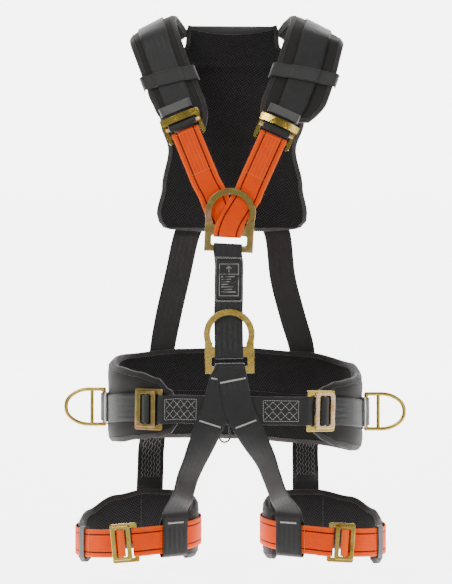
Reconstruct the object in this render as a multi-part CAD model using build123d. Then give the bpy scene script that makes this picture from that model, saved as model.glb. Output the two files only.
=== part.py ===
from build123d import *
import os
from math import sin, cos, pi, radians, sqrt

# Full-body work-positioning harness: padded yoke, waist belt and leg loops of webbing, with steel
# rings, pass-through buckles and adjusters. Millimetres. +Z up, the front faces -Y, and the origin is
# the middle of the wearer's waist at the height of the belt webbing.

os.makedirs("parts", exist_ok=True)

# ---------------------------------------------------------------- vectors
def vadd(a, b):
    return tuple(p + q for p, q in zip(a, b))


def vsub(a, b):
    return tuple(p - q for p, q in zip(a, b))


def vmul(a, k):
    return tuple(p * k for p in a)


def vdot(a, b):
    return sum(p * q for p, q in zip(a, b))


def vcross(a, b):
    return (a[1] * b[2] - a[2] * b[1], a[2] * b[0] - a[0] * b[2], a[0] * b[1] - a[1] * b[0])


def vlen(a):
    return sqrt(sum(p * p for p in a))


def vunit(a):
    n = vlen(a)
    return vmul(a, 1.0 / n)


def spline(points, count, closed=False):
    """Points of any length, spaced evenly along a Catmull-Rom curve through them."""
    pts = [tuple(float(x) for x in p) for p in points]
    n = len(pts)
    fine = []
    spans = n if closed else n - 1
    for i in range(spans):
        if closed:
            p0, p1, p2, p3 = (pts[(i + k - 1) % n] for k in range(4))
        else:
            p1, p2 = pts[i], pts[i + 1]
            p0 = pts[i - 1] if i else vsub(vmul(p1, 2), p2)
            p3 = pts[i + 2] if i + 2 < n else vsub(vmul(p2, 2), p1)
        for j in range(24):
            t = j / 24.0
            fine.append(
                tuple(
                    0.5
                    * (
                        2 * b
                        + (c - a) * t
                        + (2 * a - 5 * b + 4 * c - d) * t * t
                        + (3 * b - a - 3 * c + d) * t ** 3
                    )
                    for a, b, c, d in zip(p0, p1, p2, p3)
                )
            )
    fine.append(pts[0] if closed else pts[-1])
    return even(fine, count)


def even(fine, count):
    run = [0.0]
    for a, b in zip(fine, fine[1:]):
        run.append(run[-1] + vlen(vsub(b[:3], a[:3])))
    out, k = [], 0
    for i in range(count):
        s = run[-1] * i / (count - 1)
        while k < len(run) - 2 and run[k + 1] < s:
            k += 1
        d = run[k + 1] - run[k]
        t = 0 if d == 0 else (s - run[k]) / d
        out.append(tuple(a + (b - a) * t for a, b in zip(fine[k], fine[k + 1])))
    return out


def lerp_table(table, x):
    """Piecewise smooth value of a (x, value...) table."""
    if x <= table[0][0]:
        return table[0][1:]
    for a, b in zip(table, table[1:]):
        if x <= b[0]:
            t = (x - a[0]) / (b[0] - a[0])
            t = t * t * (3 - 2 * t)
            return tuple(p + (q - p) * t for p, q in zip(a[1:], b[1:]))
    return table[-1][1:]


# ---------------------------------------------------------------- body loops
def loop_curve(cx, cy, a, b, power, count=720):
    """A rounded closed curve seen from above: list of (x, y, nx, ny, run), starting at the front centre and going to -X, the back, then +X."""
    pts = []
    for i in range(count):
        t = -pi / 2 - 2 * pi * i / count
        c, s = cos(t), sin(t)
        pts.append(
            (
                cx + a * (1 if c > 0 else -1) * abs(c) ** (2 / power),
                cy + b * (1 if s > 0 else -1) * abs(s) ** (2 / power),
            )
        )
    out, run = [], 0.0
    for i, p in enumerate(pts):
        q, r = pts[i - 1], pts[(i + 1) % count]
        tx, ty = r[0] - q[0], r[1] - q[1]
        m = sqrt(tx * tx + ty * ty)
        if i:
            run += sqrt((p[0] - pts[i - 1][0]) ** 2 + (p[1] - pts[i - 1][1]) ** 2)
        out.append((p[0], p[1], ty / m, -tx / m, run))
    # the outward normal points away from the centre
    return [
        (x, y, nx, ny, run) if nx * (x - cx) + ny * (y - cy) > 0 else (x, y, -nx, -ny, run)
        for x, y, nx, ny, run in out
    ]


def on_loop(curve, run):
    """Point, outward normal and tangent of a loop at a length along it."""
    last = curve[-1]
    total = last[4] + sqrt((last[0] - curve[0][0]) ** 2 + (last[1] - curve[0][1]) ** 2)
    run %= total
    lo, hi = 0, len(curve) - 1
    while hi - lo > 1:
        mid = (lo + hi) // 2
        if curve[mid][4] <= run:
            lo = mid
        else:
            hi = mid
    a = curve[lo]
    if run >= curve[-1][4]:
        a, b, span = curve[-1], curve[0], total - curve[-1][4]
    else:
        b, span = curve[hi], curve[hi][4] - a[4]
    t = (run - a[4]) / span
    x, y, nx, ny = (p + (q - p) * t for p, q in zip(a[:4], b[:4]))
    m = sqrt(nx * nx + ny * ny)
    nx, ny = nx / m, ny / m
    return (x, y), (nx, ny), (ny, -nx)


def loop_total(curve):
    last = curve[-1]
    return last[4] + sqrt((last[0] - curve[0][0]) ** 2 + (last[1] - curve[0][1]) ** 2)


def run_at_x(curve, x, front=True, left=True):
    """Length along the loop at which it passes x, on the front or the back, on the -X or +X half."""
    best = None
    for px, py, nx, ny, run in curve:
        if (ny < 0) != front:
            continue
        if left != (run < loop_total(curve) / 2):
            continue
        if best is None or abs(px - x) < best[0]:
            best = (abs(px - x), run)
    return best[1]
# ---------------------------------------------------------------- where things sit
WT = 2.0  # webbing thickness
HW = 22.5  # half of the 45 mm webbing
WAIST = loop_curve(4.0, 0.0, 211.5, 146.0, 2.6)
LEG = {
    "l": loop_curve(-154.0, -29.0, 102.0, 96.0, 2.2),
    "r": loop_curve(147.0, -29.0, 102.0, 96.0, 2.2),
}


def waist_z(x, y=-146.0):
    """Height of the belt's centreline: level at the front, a little lower at the sides and back."""
    t = min(max((y + 122.0) / 70.0, 0.0), 1.0)
    return -4.0 - 0.019 * x - 7.5 * t * t * (3 - 2 * t)


def leg_z(side, x):
    """Height of the leg strap's centreline: higher on the inner side."""
    return (-213.5 + (x + 154.0) * 0.075) if side == "l" else (-212.5 - (x - 147.0) * 0.07)


S_PL, S_PR = run_at_x(WAIST, -130.7), run_at_x(WAIST, 136.6, left=False)  # waist buckles
S_DL, S_DR = run_at_x(WAIST, -207.0), run_at_x(WAIST, 215.0, left=False)
TOTAL = loop_total(WAIST)


def run_at_y(curve, y, left):
    best = None
    for px, py, nx, ny, run in curve:
        if left != (run < loop_total(curve) / 2):
            continue
        if best is None or abs(py - y) < best[0]:
            best = (abs(py - y), run)
    return best[1]


S_DL, S_DR = run_at_y(WAIST, -8.0, True), run_at_y(WAIST, -8.0, False)  # side rings
S_KL, S_KR = run_at_y(WAIST, -44.0, True), run_at_y(WAIST, -44.0, False)  # belt keepers
D_BUMP = 9.0  # how far the side ring's inner bar lifts the belt webbing


def belt_bump(run):
    out = 0.0
    for s in (S_DL, S_DR):
        d = abs(run - s)
        if d < 26:
            out = max(out, D_BUMP * (0.5 + 0.5 * cos(pi * d / 26)) ** 0.8)
    return out


def on_waist(run, off=0.0, dz=0.0):
    (x, y), (nx, ny), (tx, ty) = on_loop(WAIST, run)
    return (x + nx * off, y + ny * off, waist_z(x, y) + dz), (nx, ny, 0.0), (tx, ty, 0.0)


def steps(a, b, n):
    return [a + (b - a) * i / (n - 1) for i in range(n)]


class Place:
    """A flat part's own axes: u across, v up, n outward."""

    def __init__(self, o, u, v):
        self.o, self.u = o, vunit(u)
        self.n = vunit(vcross(u, v))
        self.v = vcross(self.n, self.u)

    def at(self, u, v, n=0.0):
        return tuple(
            o + a * u + b * v + c * n for o, a, b, c in zip(self.o, self.u, self.v, self.n)
        )


def roll(deg):
    a = radians(deg)
    return (cos(a), 0.0, sin(a)), (-sin(a), 0.0, cos(a))


STERNAL = Place((-4.7, -130.0, 294.5), *roll(-3.0))
VENTRAL = Place((-5.8, -143.0, 104.0), *roll(0.8))
SLOPE = -0.115  # how the back plate leans forward as it rises


def back_y(z):
    return 152.0 + (z - 290.0) * SLOPE


DORSAL = Place((0.0, back_y(407.5) + 11.2, 407.5), (1.0, 0.0, 0.0), (0.0, -SLOPE, -1.0))
# ring sizes, along the ring's own v from its middle
R_TOP, R_OUT, R_EYE = 50.5, 40.0, 30.0
R_C = R_TOP - R_OUT  # centre of the arch and the eye
EYE_FLAT, SLOT_HI, SLOT_LO, R_BOT = R_C - 19.0, -25.0, -40.0, -50.5
PLATE = 5.0  # ring plate
RING_ROUND = 1.0  # rounding of the ring plates' edges
RS = PLATE / 2 + 0.9 + WT / 2  # webbing centre over a ring plate
FOLD_C, FOLD_S = SLOT_HI + 2.5, SLOT_LO - 2.5  # fold centres on the two bars


def arc(place, vc, nc, r, a0, a1, n, u=0.0):
    """Points on a fold round a bar: angle 0 is along +v, 90 is along +n."""
    out = []
    for i in range(n):
        a = radians(a0 + (a1 - a0) * i / (n - 1))
        out.append(place.at(u, vc + r * cos(a), nc + r * sin(a)))
    return out


ADJ = {}
for _s, _o in (("l", (-79.4, -119.0, 444.8)), ("r", (68.3, -119.0, 436.1))):
    _target = (-7.0, -131.0, 268.0)
    _d = vunit(vsub(_o, _target))
    _u = (_d[2], 0.0, -_d[0])
    ADJ[_s] = Place(_o, _u, _d)

# ---------------------------------------------------------------- webbing paths
# each station: centre x y z, width vector x y z, half width


def sta(point, width, hw=HW):
    return tuple(point) + tuple(vunit(width)) + (hw,)


PATHS = {}

# chest webbing: one length, folded round both adjusters' lower bars and the sternal ring's cross bar
_L, _R = ADJ["l"], ADJ["r"]
_x = (1.0, 0.0, 0.0)


def _adj_end(a):
    fold = [a.at(0, -95, -1.3), a.at(0, -62, -1.3), a.at(0, -31, -1.8), a.at(0, -19, -3.5)]
    fold += arc(a, -12.5, 0.0, 3.9, -105, 105, 9)
    fold += [a.at(0, -19, 3.5), a.at(0, -31, 2.2), a.at(0, -62, 1.2), a.at(0, -98, 1.2)]
    return fold


_pl = [sta(p, _L.u) for p in _adj_end(_L)]
_pr = [sta(p, _R.u) for p in _adj_end(_R)]
_S = STERNAL
_mid = [
    sta(_S.at(-18.0, 42.0, -7.0), (0.93, 0, 0.37)),
    sta(_S.at(-12.5, 22.0, -6.6), (0.94, 0, 0.34)),
    sta(_S.at(-7.0, 2.0, -6.0), (0.955, 0, 0.28), 22.0),
    sta(_S.at(-4.0, -10.0, -RS), (0.98, 0, 0.14), 22.0),
    sta(_S.at(-3.0, FOLD_C, -RS), (1, 0, -0.05), 22.0),
]
_mid += [sta(p, (1, 0, -0.05), 22.0) for p in arc(_S, FOLD_C, 0.0, RS, -110, -250, 7, -3.0)]
_mid += [
    sta(_S.at(-3.0, FOLD_C, RS), (1, 0, -0.05), 22.3),
    sta(_S.at(-0.5, EYE_FLAT - 3, RS), (0.97, 0, -0.2), 22.0),
    sta(_S.at(1.4, -4.0, 4.2), (0.955, 0, -0.29), 21.0),
    sta(_S.at(3.4, 3.0, 2.2), (0.94, 0, -0.34), 20.8),
    sta(_S.at(6.4, 10.0, -2.2), (0.925, 0, -0.38), 20.6),
    sta(_S.at(11.0, 20.0, -4.6), (0.915, 0, -0.40), 21.6),
    sta(_S.at(20.0, 39.0, -RS - 0.1), (0.91, 0, -0.41)),
]
PATHS["chest_webbing"] = _pl + _mid + _pr[::-1]

# label strap: a closed band between the two rings, joined behind
_V = VENTRAL
_uS, _uV = STERNAL.u, VENTRAL.u
_b = [sta((-6.4, -131.2, 196.0), _x), sta((-6.2, -129.5, 225.0), _x)]
_b += [sta(_S.at(-1.2, -49.0, -RS), _uS)]
_b += [sta(p, _uS) for p in arc(_S, FOLD_S, 0.0, RS, -80, 80, 7, -1.2)]
_b += [
    sta(_S.at(-1.2, -49.0, RS), _uS),
    sta((-6.2, -135.0, 225.0), _x),
    sta((-6.6, -134.6, 196.0), _x),
    sta((-6.6, -136.0, 170.0), _x),
    sta(_V.at(-0.8, 46.0, -RS - 0.2), _uV),
    sta(_V.at(-0.8, 28.0, -RS - 0.1), _uV, 22.3),
    sta(_V.at(-0.8, 14.0, -2.2), _uV, 22.3),
    sta(_V.at(-0.8, 0.0, 2.4), _uV, 22.0),
    sta(_V.at(-0.8, EYE_FLAT - 3, RS), _uV, 22.0),
    sta(_V.at(-0.8, FOLD_C, RS), _uV, 22.3),
]
_b += [sta(p, _uV) for p in arc(_V, FOLD_C, 0.0, RS, 110, 250, 7, -0.8)]
_b += [
    sta(_V.at(-0.8, FOLD_C, -RS), _uV),
    sta(_V.at(-0.8, 4.0, -RS - 1.0), _uV),
    sta(_V.at(-0.8, 44.0, -RS - 2.9), _uV),
    sta((-6.5, -132.6, 172.0), _x),
    sta((-6.4, -131.6, 198.5), _x),
]
PATHS["label_strap"] = _b


def riser(side):
    """From behind the ventral ring's lower bar, over it, down to the leg strap, round it and back up."""
    k = 1.0 if side == "r" else -1.0
    r = RS if side == "l" else RS + 2.8  # the right riser lies over the left one
    out = [sta(_V.at(0.5 * k, -62.0, -r - 0.2), _uV), sta(_V.at(0.5 * k, -50.0, -r), _uV)]
    out += [sta(p, _uV, 23.5) for p in arc(_V, FOLD_S, 0.0, r, -90, 90, 9, 0.5 * k)]
    y = _V.o[1] - r
    if side == "r":
        front = [
            (-1.0, y - 0.2, 46.0, 0, 10, 23.0),
            (3.5, y - 3.9, 24.0, 0, 14, 22.5),
            (10.5, y - 4.4, -4.0, 0, 17, 22.5),
            (22.0, y - 3.8, -29.0, 6, 22, 22.5),
            (35.0, y + 2.0, -53.0, 26, 26, 22.5),
            (51.0, y + 10.0, -82.0, 46, 26, 22.5),
            (62.0, y + 17.0, -112.0, 53, 24, 22.5),
            (73.5, y + 21.5, -143.0, 52, 20, 22.5),
        ]
    else:
        front = [
            (-13.0, y - 0.2, 46.0, 0, 10, 23.0),
            (-19.5, y - 3.6, 24.0, 0, 13, 22.5),
            (-27.0, y - 4.0, -4.0, 0, 16, 22.5),
            (-37.0, y - 3.8, -27.0, 5, 18, 22.5),
            (-47.0, y + 1.5, -52.0, 22, 19, 22.5),
            (-61.0, y + 10.0, -86.0, 40, 20, 22.5),
            (-71.5, y + 16.0, -112.0, 44, 20, 22.5),
            (-80.0, y + 20.0, -143.0, 44, 16, 22.5),
        ]
    for x, yy, z, yaw, lean, hw in front:
        a, b = radians(yaw), radians(lean)
        # the width vector turns towards the viewer on the outer edge, and leans with the strap
        w = (cos(a) * cos(b), -k * sin(a) * cos(b), k * sin(b))
        out.append(sta((x, yy, z), w, hw))
    # the loop round the leg strap
    cx = -93.5 if side == "l" else 90.0
    run = run_at_x(LEG[side], cx, left=(side == "r"))
    (px, py), (nx, ny), _t = on_loop(LEG[side], run)
    zc = leg_z(side, px)
    w = (-ny, nx, 0.0)
    if w[0] < 0:
        w = (ny, -nx, 0.0)
    for off, dz in (
        (4.0, 42.0),
        (4.3, 32.0),
        (3.8, 20.0),
        (3.8, -20.0),
        (3.2, -25.5),
        (0.6, -28.4),
        (-3.6, -29.4),
        (-6.6, -27.0),
        (-7.6, -21.0),
        (-7.6, 20.0),
        (-5.4, 27.0),
        (-0.6, 33.5),
        (1.2, 41.0),
    ):
        out.append(sta((px + nx * off, py + ny * off, zc + dz), w))
    return out


PATHS["riser_l"], PATHS["riser_r"] = riser("l"), riser("r")


# shoulder webbing: round the sliding bar, over the shoulder pad, across the back plate, down to the belt
SHOULDER = {}
for _s in "lr":
    _k = -1.0 if _s == "l" else 1.0
    # (inner edge x y z, outer edge x y z) of the shoulder pad's outer face, from the back to the front end
    if _s == "l":
        SHOULDER[_s] = [
            (-77, 113.5, 624, -162, 120.5, 565),
            (-80, 108, 634, -165, 113, 576),
            (-87, 84, 643, -169, 78, 591),
            (-92, 50, 646, -171, 40, 600),
            (-96, 5, 644, -172, -5, 602),
            (-94, -38, 628, -171, -42, 594),
            (-84, -72, 596, -165, -72, 576),
            (-68, -90, 549, -148, -88, 529),
            (-46, -103, 495, -129, -101, 480),
            (-27, -113, 446, -109, -112, 434),
        ]
    else:
        SHOULDER[_s] = [
            (77, 113.5, 624, 164, 120.5, 565),
            (80, 108, 634, 168, 113, 576),
            (87, 84, 643, 175, 78, 589),
            (94, 50, 646, 180, 40, 597),
            (98, 5, 644, 184, -5, 597),
            (95, -38, 628, 184, -42, 590),
            (84, -72, 598, 179, -72, 576),
            (69, -90, 549, 167, -88, 529),
            (49, -103, 500, 154, -101, 490),
            (31, -113, 452, 138, -111, 452),
        ]


def shoulder_frames(side, count=25):
    """Inner edge, outer edge and outward normal along the shoulder pad."""
    k = 1.0 if side == "r" else -1.0
    rows = spline(SHOULDER[side], count)
    out = []
    for i, row in enumerate(rows):
        a, b = row[:3], row[3:6]
        p, q = rows[max(i - 1, 0)], rows[min(i + 1, count - 1)]
        t = vunit(
            vadd(vsub(q[:3], p[:3]), vsub(q[3:6], p[3:6]))
        )
        w = vunit(vsub(b, a))
        n = vmul(vunit(vcross(w, t)), -k)
        out.append((a, b, n, t))
    return out


def auto_width(points, normals, hws):
    """Stations whose width vector is square to the path and the given normal."""
    out, n = [], len(points)
    for i, (p, m) in enumerate(zip(points, normals)):
        t = vunit(vsub(points[min(i + 1, n - 1)], points[max(i - 1, 0)]))
        w = vunit(vcross(t, m))
        if w[0] < 0:
            w = vmul(w, -1.0)
        out.append(tuple(p) + w + (hws[i],))
    return out


def waist_back(x, z, off):
    run = run_at_x(WAIST, x, front=False, left=x < 4.0)
    (px, py), (nx, ny), _t = on_loop(WAIST, run)
    return (px + nx * off, py + ny * off, z), (nx, ny, 0.0)


def shoulder_path(side):
    """Front part, from the adjuster to the top of the back plate, and the part below it."""
    k = -1.0 if side == "l" else 1.0
    a = ADJ[side]
    lift = 0.0 if side == "l" else 3.0  # the right strap crosses over the left one
    out = []
    # round the sliding bar and under the top bar
    for p in arc(a, 0.0, 5.4, 4.4, 20, 250, 13):
        out.append(sta(p, a.u))
    out += [sta(a.at(0, 8.5, -1.6), a.u), sta(a.at(0, 20, -3.6), a.u)]
    # up the pad, over the shoulder
    frames = shoulder_frames(side, 25)
    for i in range(22, -1, -1):
        e0, e1, n, t = frames[i]
        share = 0.5 - (0.0 if i > 5 else 0.05 * (5 - i) / 5)
        c = vadd(vmul(e0, 1 - share), vmul(e1, share))
        w = vunit(vsub(e1, e0))
        if w[0] < 0:
            w = vmul(w, -1.0)
        out.append(sta(vadd(c, vmul(n, 1.9)), w))
    front, out = out, []
    # across the back plate to the dorsal ring and on to the belt
    # x, z, height over the plate, half width, how level the width runs
    rows = [
        (k * 92, 574, 4.5, 22.5, 0.0),
        (k * 66, 535, 5.2 + lift, 22.5, 0.0),
        (k * 38, 494, 10.5 + lift, 22.3, 0.3),
        (k * 20, 468, 15.8 + lift, 21.0, 1.0),
        (k * 8, 448.5, 15.8 + lift, 21.0, 1.0),
        (k * 1.5, 440, 9.9 + lift, 21.0, 1.0),
        (-k * 5, 431.0, 4.1 + lift, 21.0, 1.0),
        (-k * 11, 420, 4.1 + lift, 21.0, 1.0),
        (-k * 24, 394, 4.1 + lift, 22.3, 0.3),
        (-k * 44, 355, 4.0 + lift * 0.3, 22.5, 0.0),
        (-k * 62, 318, 3.4, 22.5, 0.0),
        (-k * 78, 285, 3.0, 22.5, 0.0),
    ]
    pts = [(r[0], back_y(r[1]) + r[2], r[1]) for r in rows]
    nrm = [(0.0, 1.0, -SLOPE)] * len(rows)
    hws = [r[3] for r in rows]
    k2 = -k
    low = (
        [(-95, 211, 149.5), (-111, 140, 143.5)] if k2 < 0 else [(88, 205, 149.0), (105, 138, 144.5)]
    )
    for x, z, y in low:
        pts.append((x, y, z))
        nrm.append((0.15 * k2, 1.0, 0.0))
        hws.append(22.5)
    for x, z in ((-120, 84), (-124.5, 45), (-128, 5), (-131, -32)) if k2 < 0 else (
        (118.5, 84),
        (122.5, 45),
        (125.5, 5),
        (127.5, -32),
    ):
        p, m = waist_back(x, z, 2.9)
        pts.append(p)
        nrm.append(m)
        hws.append(22.5)
    back = auto_width(pts, nrm, hws)
    for i, r in enumerate(rows):
        w = vunit(vadd(vmul(back[i][3:6], 1 - r[4]), (r[4], 0.0, 0.0)))
        back[i] = back[i][:3] + w + back[i][6:]
    return front, back


for _s in "lr":
    PATHS["shoulder_webbing_" + _s], PATHS["back_webbing_" + _s] = shoulder_path(_s)


def rear_leg(side):
    k = -1.0 if side == "l" else 1.0
    x0, x1 = (-131, -140.5) if side == "l" else (127.5, 125.5)
    p0, n0 = waist_back(x0, -38.0, 2.9)
    run = run_at_x(LEG[side], x1, front=False, left=x1 < LEG[side][0][0])
    (px, py), (nx, ny), _t = on_loop(LEG[side], run)
    leg = (px, py)
    pts = [
        p0,
        waist_back(x0 + (x1 - x0) * 0.5, -62.0, 3.2)[0],
        waist_back(x0 + (x1 - x0) * 0.8, -92.0, 3.2)[0],
        (x1, p0[1] - 26, -122.0),
        (px + nx * 7, py + ny * 7, -150.0),
        (px + nx * 3.2, py + ny * 3.2, -180.0),
        (px + nx * 3.2, py + ny * 3.2, -236.0),
    ]
    nrm = [n0, n0, (0.0, 1.0, 0.0), (0, 1, 0), (0, 1, 0), (nx, ny, 0), (nx, ny, 0)]
    return auto_width(pts, nrm, [22.5] * 7)


PATHS["rear_leg_strap_l"], PATHS["rear_leg_strap_r"] = rear_leg("l"), rear_leg("r")


# buckles: place of each female plate (its middle), link offset along u
def buckle_place(curve, run, z, tilt, off=0.0):
    (x, y), (nx, ny), (tx, ty) = on_loop(curve, run)
    u = (-tx, -ty, 0.0)
    if u[0] < 0:
        u = (tx, ty, 0.0)
    a = radians(tilt)
    w = (u[0] * cos(a), u[1] * cos(a), sin(a))
    v = (-u[0] * sin(a), -u[1] * sin(a), cos(a))
    return Place((x + nx * off, y + ny * off, z), w, v)


BUCKLES = {
    # name: (place, +1 where the wearer's middle lies at +u, plate width, height)
    "waist_l": (buckle_place(WAIST, S_PL, -3.5, -0.6), 1.0, 47.6, 65.0),
    "waist_r": (buckle_place(WAIST, S_PR, -6.2, -1.2), -1.0, 47.6, 65.0),
    "leg_l": (
        buckle_place(LEG["l"], run_at_x(LEG["l"], -170.0, left=True), -214.5, 5.5),
        1.0,
        43.0,
        62.0,
    ),
    "leg_r": (
        buckle_place(LEG["r"], run_at_x(LEG["r"], 169.6, left=False), -214.0, -4.0),
        -1.0,
        43.0,
        62.0,
    ),
}
FEM_N, FEM_T = 2.2, 3.0  # underside and thickness of a female plate
LINK_N, LINK_T = 5.6, 4.0  # underside and thickness of a male link
LINK_W, LINK_H, LINK_OW, LINK_OH = 33.5, 57.5, 18.0, 46.5


def belt_front():
    """Between the two female plates: doubled at each end round the plate's inner bar."""
    out = []
    for name in ("waist_l", "waist_r"):
        pl, inner, pw, ph = BUCKLES[name]
        bar = pw / 2 - 5.0  # where the webbing folds, on the slot's side of the inner bar
        nm = FEM_N + FEM_T / 2
        r = FEM_T / 2 + 0.8 + WT / 2
        w = pl.v
        part = []
        s0 = S_PL if name == "waist_l" else S_PR
        sgn = -1.0 if name == "waist_l" else 1.0
        for d in (74.0, 56.0, 42.0):
            q, n, t = on_waist(s0 + sgn * d, -1.25)
            part.append(tuple(q) + tuple(pl.v) + (22.3,))
        part.append(tuple(pl.at(inner * (bar + 6), 0.0, nm - r)) + tuple(w) + (22.3,))
        for i in range(7):
            a = radians(-90 - 30.0 * i)
            part.append(
                tuple(pl.at(inner * (bar + r * cos(a) * 1.0), 0.0, nm + r * sin(a)))
                + tuple(w)
                + (22.3,)
            )
        part.append(tuple(pl.at(inner * (bar + 6), 0.0, nm + r)) + tuple(w) + (22.3,))
        for d in (46.0, 60.0, 78.0):
            q, n, t = on_waist(s0 + sgn * d, 1.3)
            part.append(tuple(q) + tuple(pl.v) + (22.3,))
        out.append(part)
    left, right = out
    mid = []
    a, b = S_PL - 95.0, -(TOTAL - S_PR) + 95.0
    for i in range(4):
        s = a + (b - a) * i / 3.0
        q, n, t = on_waist(s, 1.0)
        mid.append(tuple(q) + (0.0, 0.0, 1.0, 22.3))
    return left + mid + right[::-1]


PATHS["belt_front"] = belt_front()


def belt_rear():
    out = []
    runs = [S_PL + 3.0, S_PL + 14, S_PL + 30, S_PL + 50]
    runs += steps(S_PL + 66, S_DL - 36, 9)
    runs += steps(S_DL - 28, S_DL + 28, 13)
    runs += steps(S_DL + 50, S_DR - 50, 25)
    runs += steps(S_DR - 28, S_DR + 28, 13)
    runs += steps(S_DR + 36, S_PR - 66, 9)
    runs += [S_PR - 50, S_PR - 30, S_PR - 14, S_PR - 3.0]
    for s in runs:
        q, n, t = on_waist(s, belt_bump(s))
        out.append(tuple(q) + (0.0, 0.0, 1.0, 22.5))
    return out


PATHS["belt_webbing"] = belt_rear()


def leg_ring(side):
    """The leg strap, all the way round from the female plate's bar to the link."""
    pl, inner, pw, ph = BUCKLES["leg_" + side]
    curve = LEG[side]
    total = loop_total(curve)
    left = side == "l"
    s0 = run_at_x(curve, -170.0 if left else 169.6, left=left)
    sgn = -1.0 if left else 1.0  # towards the inner side
    bar = pw / 2 - 5.0
    nm = FEM_N + FEM_T / 2
    r = FEM_T / 2 + 0.8 + WT / 2
    out = []

    def on(s, off):
        (x, y), (nx, ny), _t = on_loop(curve, s)
        return (x + nx * off, y + ny * off, leg_z(side, x), 0.0, 0.0, 1.0, 22.5)

    out.append(on(s0 + sgn * 58.0, -1.25))
    out.append(on(s0 + sgn * 44.0, -1.25))
    out.append(tuple(pl.at(inner * (bar + 6), 0.0, nm - r)) + tuple(pl.v) + (22.3,))
    for i in range(7):
        a = radians(-90 - 30.0 * i)
        out.append(
            tuple(pl.at(inner * (bar + r * cos(a)), 0.0, nm + r * sin(a))) + tuple(pl.v) + (22.3,)
        )
    out.append(tuple(pl.at(inner * (bar + 6), 0.0, nm + r)) + tuple(pl.v) + (22.3,))
    for s in steps(44.0, total - 4.0, 46):
        out.append(on(s0 + sgn * s, 1.2 if s < 66 else (0.6 if s < 80 else 0.0)))
    return out


PATHS["leg_strap_l"], PATHS["leg_strap_r"] = leg_ring("l"), leg_ring("r")


# ---------------------------------------------------------------- pads
PAD_S0, PAD_S1 = run_at_x(WAIST, -90.0), run_at_x(WAIST, 127.0, left=False)
# along the belt from its -X front end: run share -> lower edge, upper edge
PAD_TABLE = [
    (0.000, -30.0, 14.0),
    (0.012, -42.0, 27.0),
    (0.035, -49.0, 45.0),
    (0.070, -53.0, 54.0),
    (0.125, -60.0, 61.0),
    (0.200, -64.0, 69.0),
    (0.300, -68.0, 76.0),
    (0.420, -71.0, 83.0),
    (0.520, -73.0, 85.0),
    (0.640, -80.0, 78.0),
    (0.760, -86.0, 62.0),
    (0.860, -76.0, 47.0),
    (0.905, -72.0, 42.0),
    (0.950, -64.0, 38.0),
    (0.975, -55.0, 31.0),
    (0.992, -44.0, 22.0),
    (1.000, -34.0, 10.0),
]
PAD_RUNS = (
    steps(PAD_S0, PAD_S0 + 14, 4)[:-1]
    + steps(PAD_S0 + 14, PAD_S1 - 14, 44)
    + steps(PAD_S1 - 14, PAD_S1, 4)[1:]
)


def waist_pad_z(run):
    return lerp_table(PAD_TABLE, (run - PAD_S0) / (PAD_S1 - PAD_S0))


LEG_S0 = {
    "l": run_at_x(LEG["l"], -236.0, left=True),
    "r": run_at_x(LEG["r"], 62.0, left=True),
}
LEG_S1 = {
    "l": run_at_x(LEG["l"], -72.0, left=False),
    "r": run_at_x(LEG["r"], 229.0, left=False),
}
# share of the run from the -X end -> lower edge, upper edge
LEG_TABLE = {
    "l": [
        (0.00, -246.0, -203.0),
        (0.03, -253.0, -196.0),
        (0.10, -256.0, -192.0),
        (0.25, -254.0, -180.0),
        (0.40, -252.0, -160.0),
        (0.52, -250.0, -151.0),
        (0.68, -248.0, -151.0),
        (0.85, -247.0, -157.0),
        (0.94, -247.0, -170.0),
        (0.985, -246.0, -176.0),
        (1.00, -240.0, -186.0),
    ],
    "r": [
        (0.00, -242.0, -184.0),
        (0.02, -248.0, -175.0),
        (0.07, -250.0, -168.0),
        (0.15, -250.0, -158.0),
        (0.32, -249.0, -151.0),
        (0.48, -250.0, -152.0),
        (0.62, -252.0, -162.0),
        (0.75, -254.0, -178.0),
        (0.90, -258.0, -192.0),
        (0.97, -256.0, -197.0),
        (1.00, -248.0, -204.0),
    ],
}
LEG_RUNS = {s: steps(LEG_S0[s], LEG_S1[s], 40) for s in "lr"}


def leg_pad_z(side, run):
    return lerp_table(LEG_TABLE[side], (run - LEG_S0[side]) / (LEG_S1[side] - LEG_S0[side]))


# outline of the back pad, seen from the front
YOKE = [
    (-128.0, 303.0),
    (-121.0, 295.0),
    (-110.0, 291.5),
    (-57.0, 290.0),
    (0.0, 288.0),
    (57.0, 287.0),
    (108.0, 290.0),
    (120.0, 294.5),
    (128.5, 304.0),
    (130.0, 318.0),
    (122.0, 365.0),
    (110.0, 428.0),
    (124.0, 474.0),
    (148.0, 528.0),
    (156.0, 549.0),
    (70.0, 609.0),
    (60.0, 628.0),
    (30.0, 631.5),
    (0.0, 631.0),
    (-30.0, 631.5),
    (-60.0, 628.0),
    (-70.0, 609.0),
    (-154.0, 549.0),
    (-146.0, 528.0),
    (-124.0, 474.0),
    (-111.0, 428.0),
    (-122.0, 366.0),
    (-131.5, 318.0),
]

# ---------------------------------------------------------------- side rings
D_H, D_REACH, D_CROSS = 64.0, 66.0, 20.0


def side_place(side):
    s = S_DL if side == "l" else S_DR
    (x, y), (nx, ny), _t = on_loop(WAIST, s)
    k = -1.0 if side == "l" else 1.0
    # u outward, v up
    off = D_BUMP - WT / 2 - 0.6 - 3.2
    z = -7.8 if side == "l" else -15.6
    return Place((x + nx * off, y + ny * off, z), (k, 0.0, 0.0), (0.0, 0.0, 1.0))


SIDE = {"l": side_place("l"), "r": side_place("r")}
LINK_SHIFT = {"waist_l": 3.4, "waist_r": 6.0, "leg_l": 5.0, "leg_r": 5.0}


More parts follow.
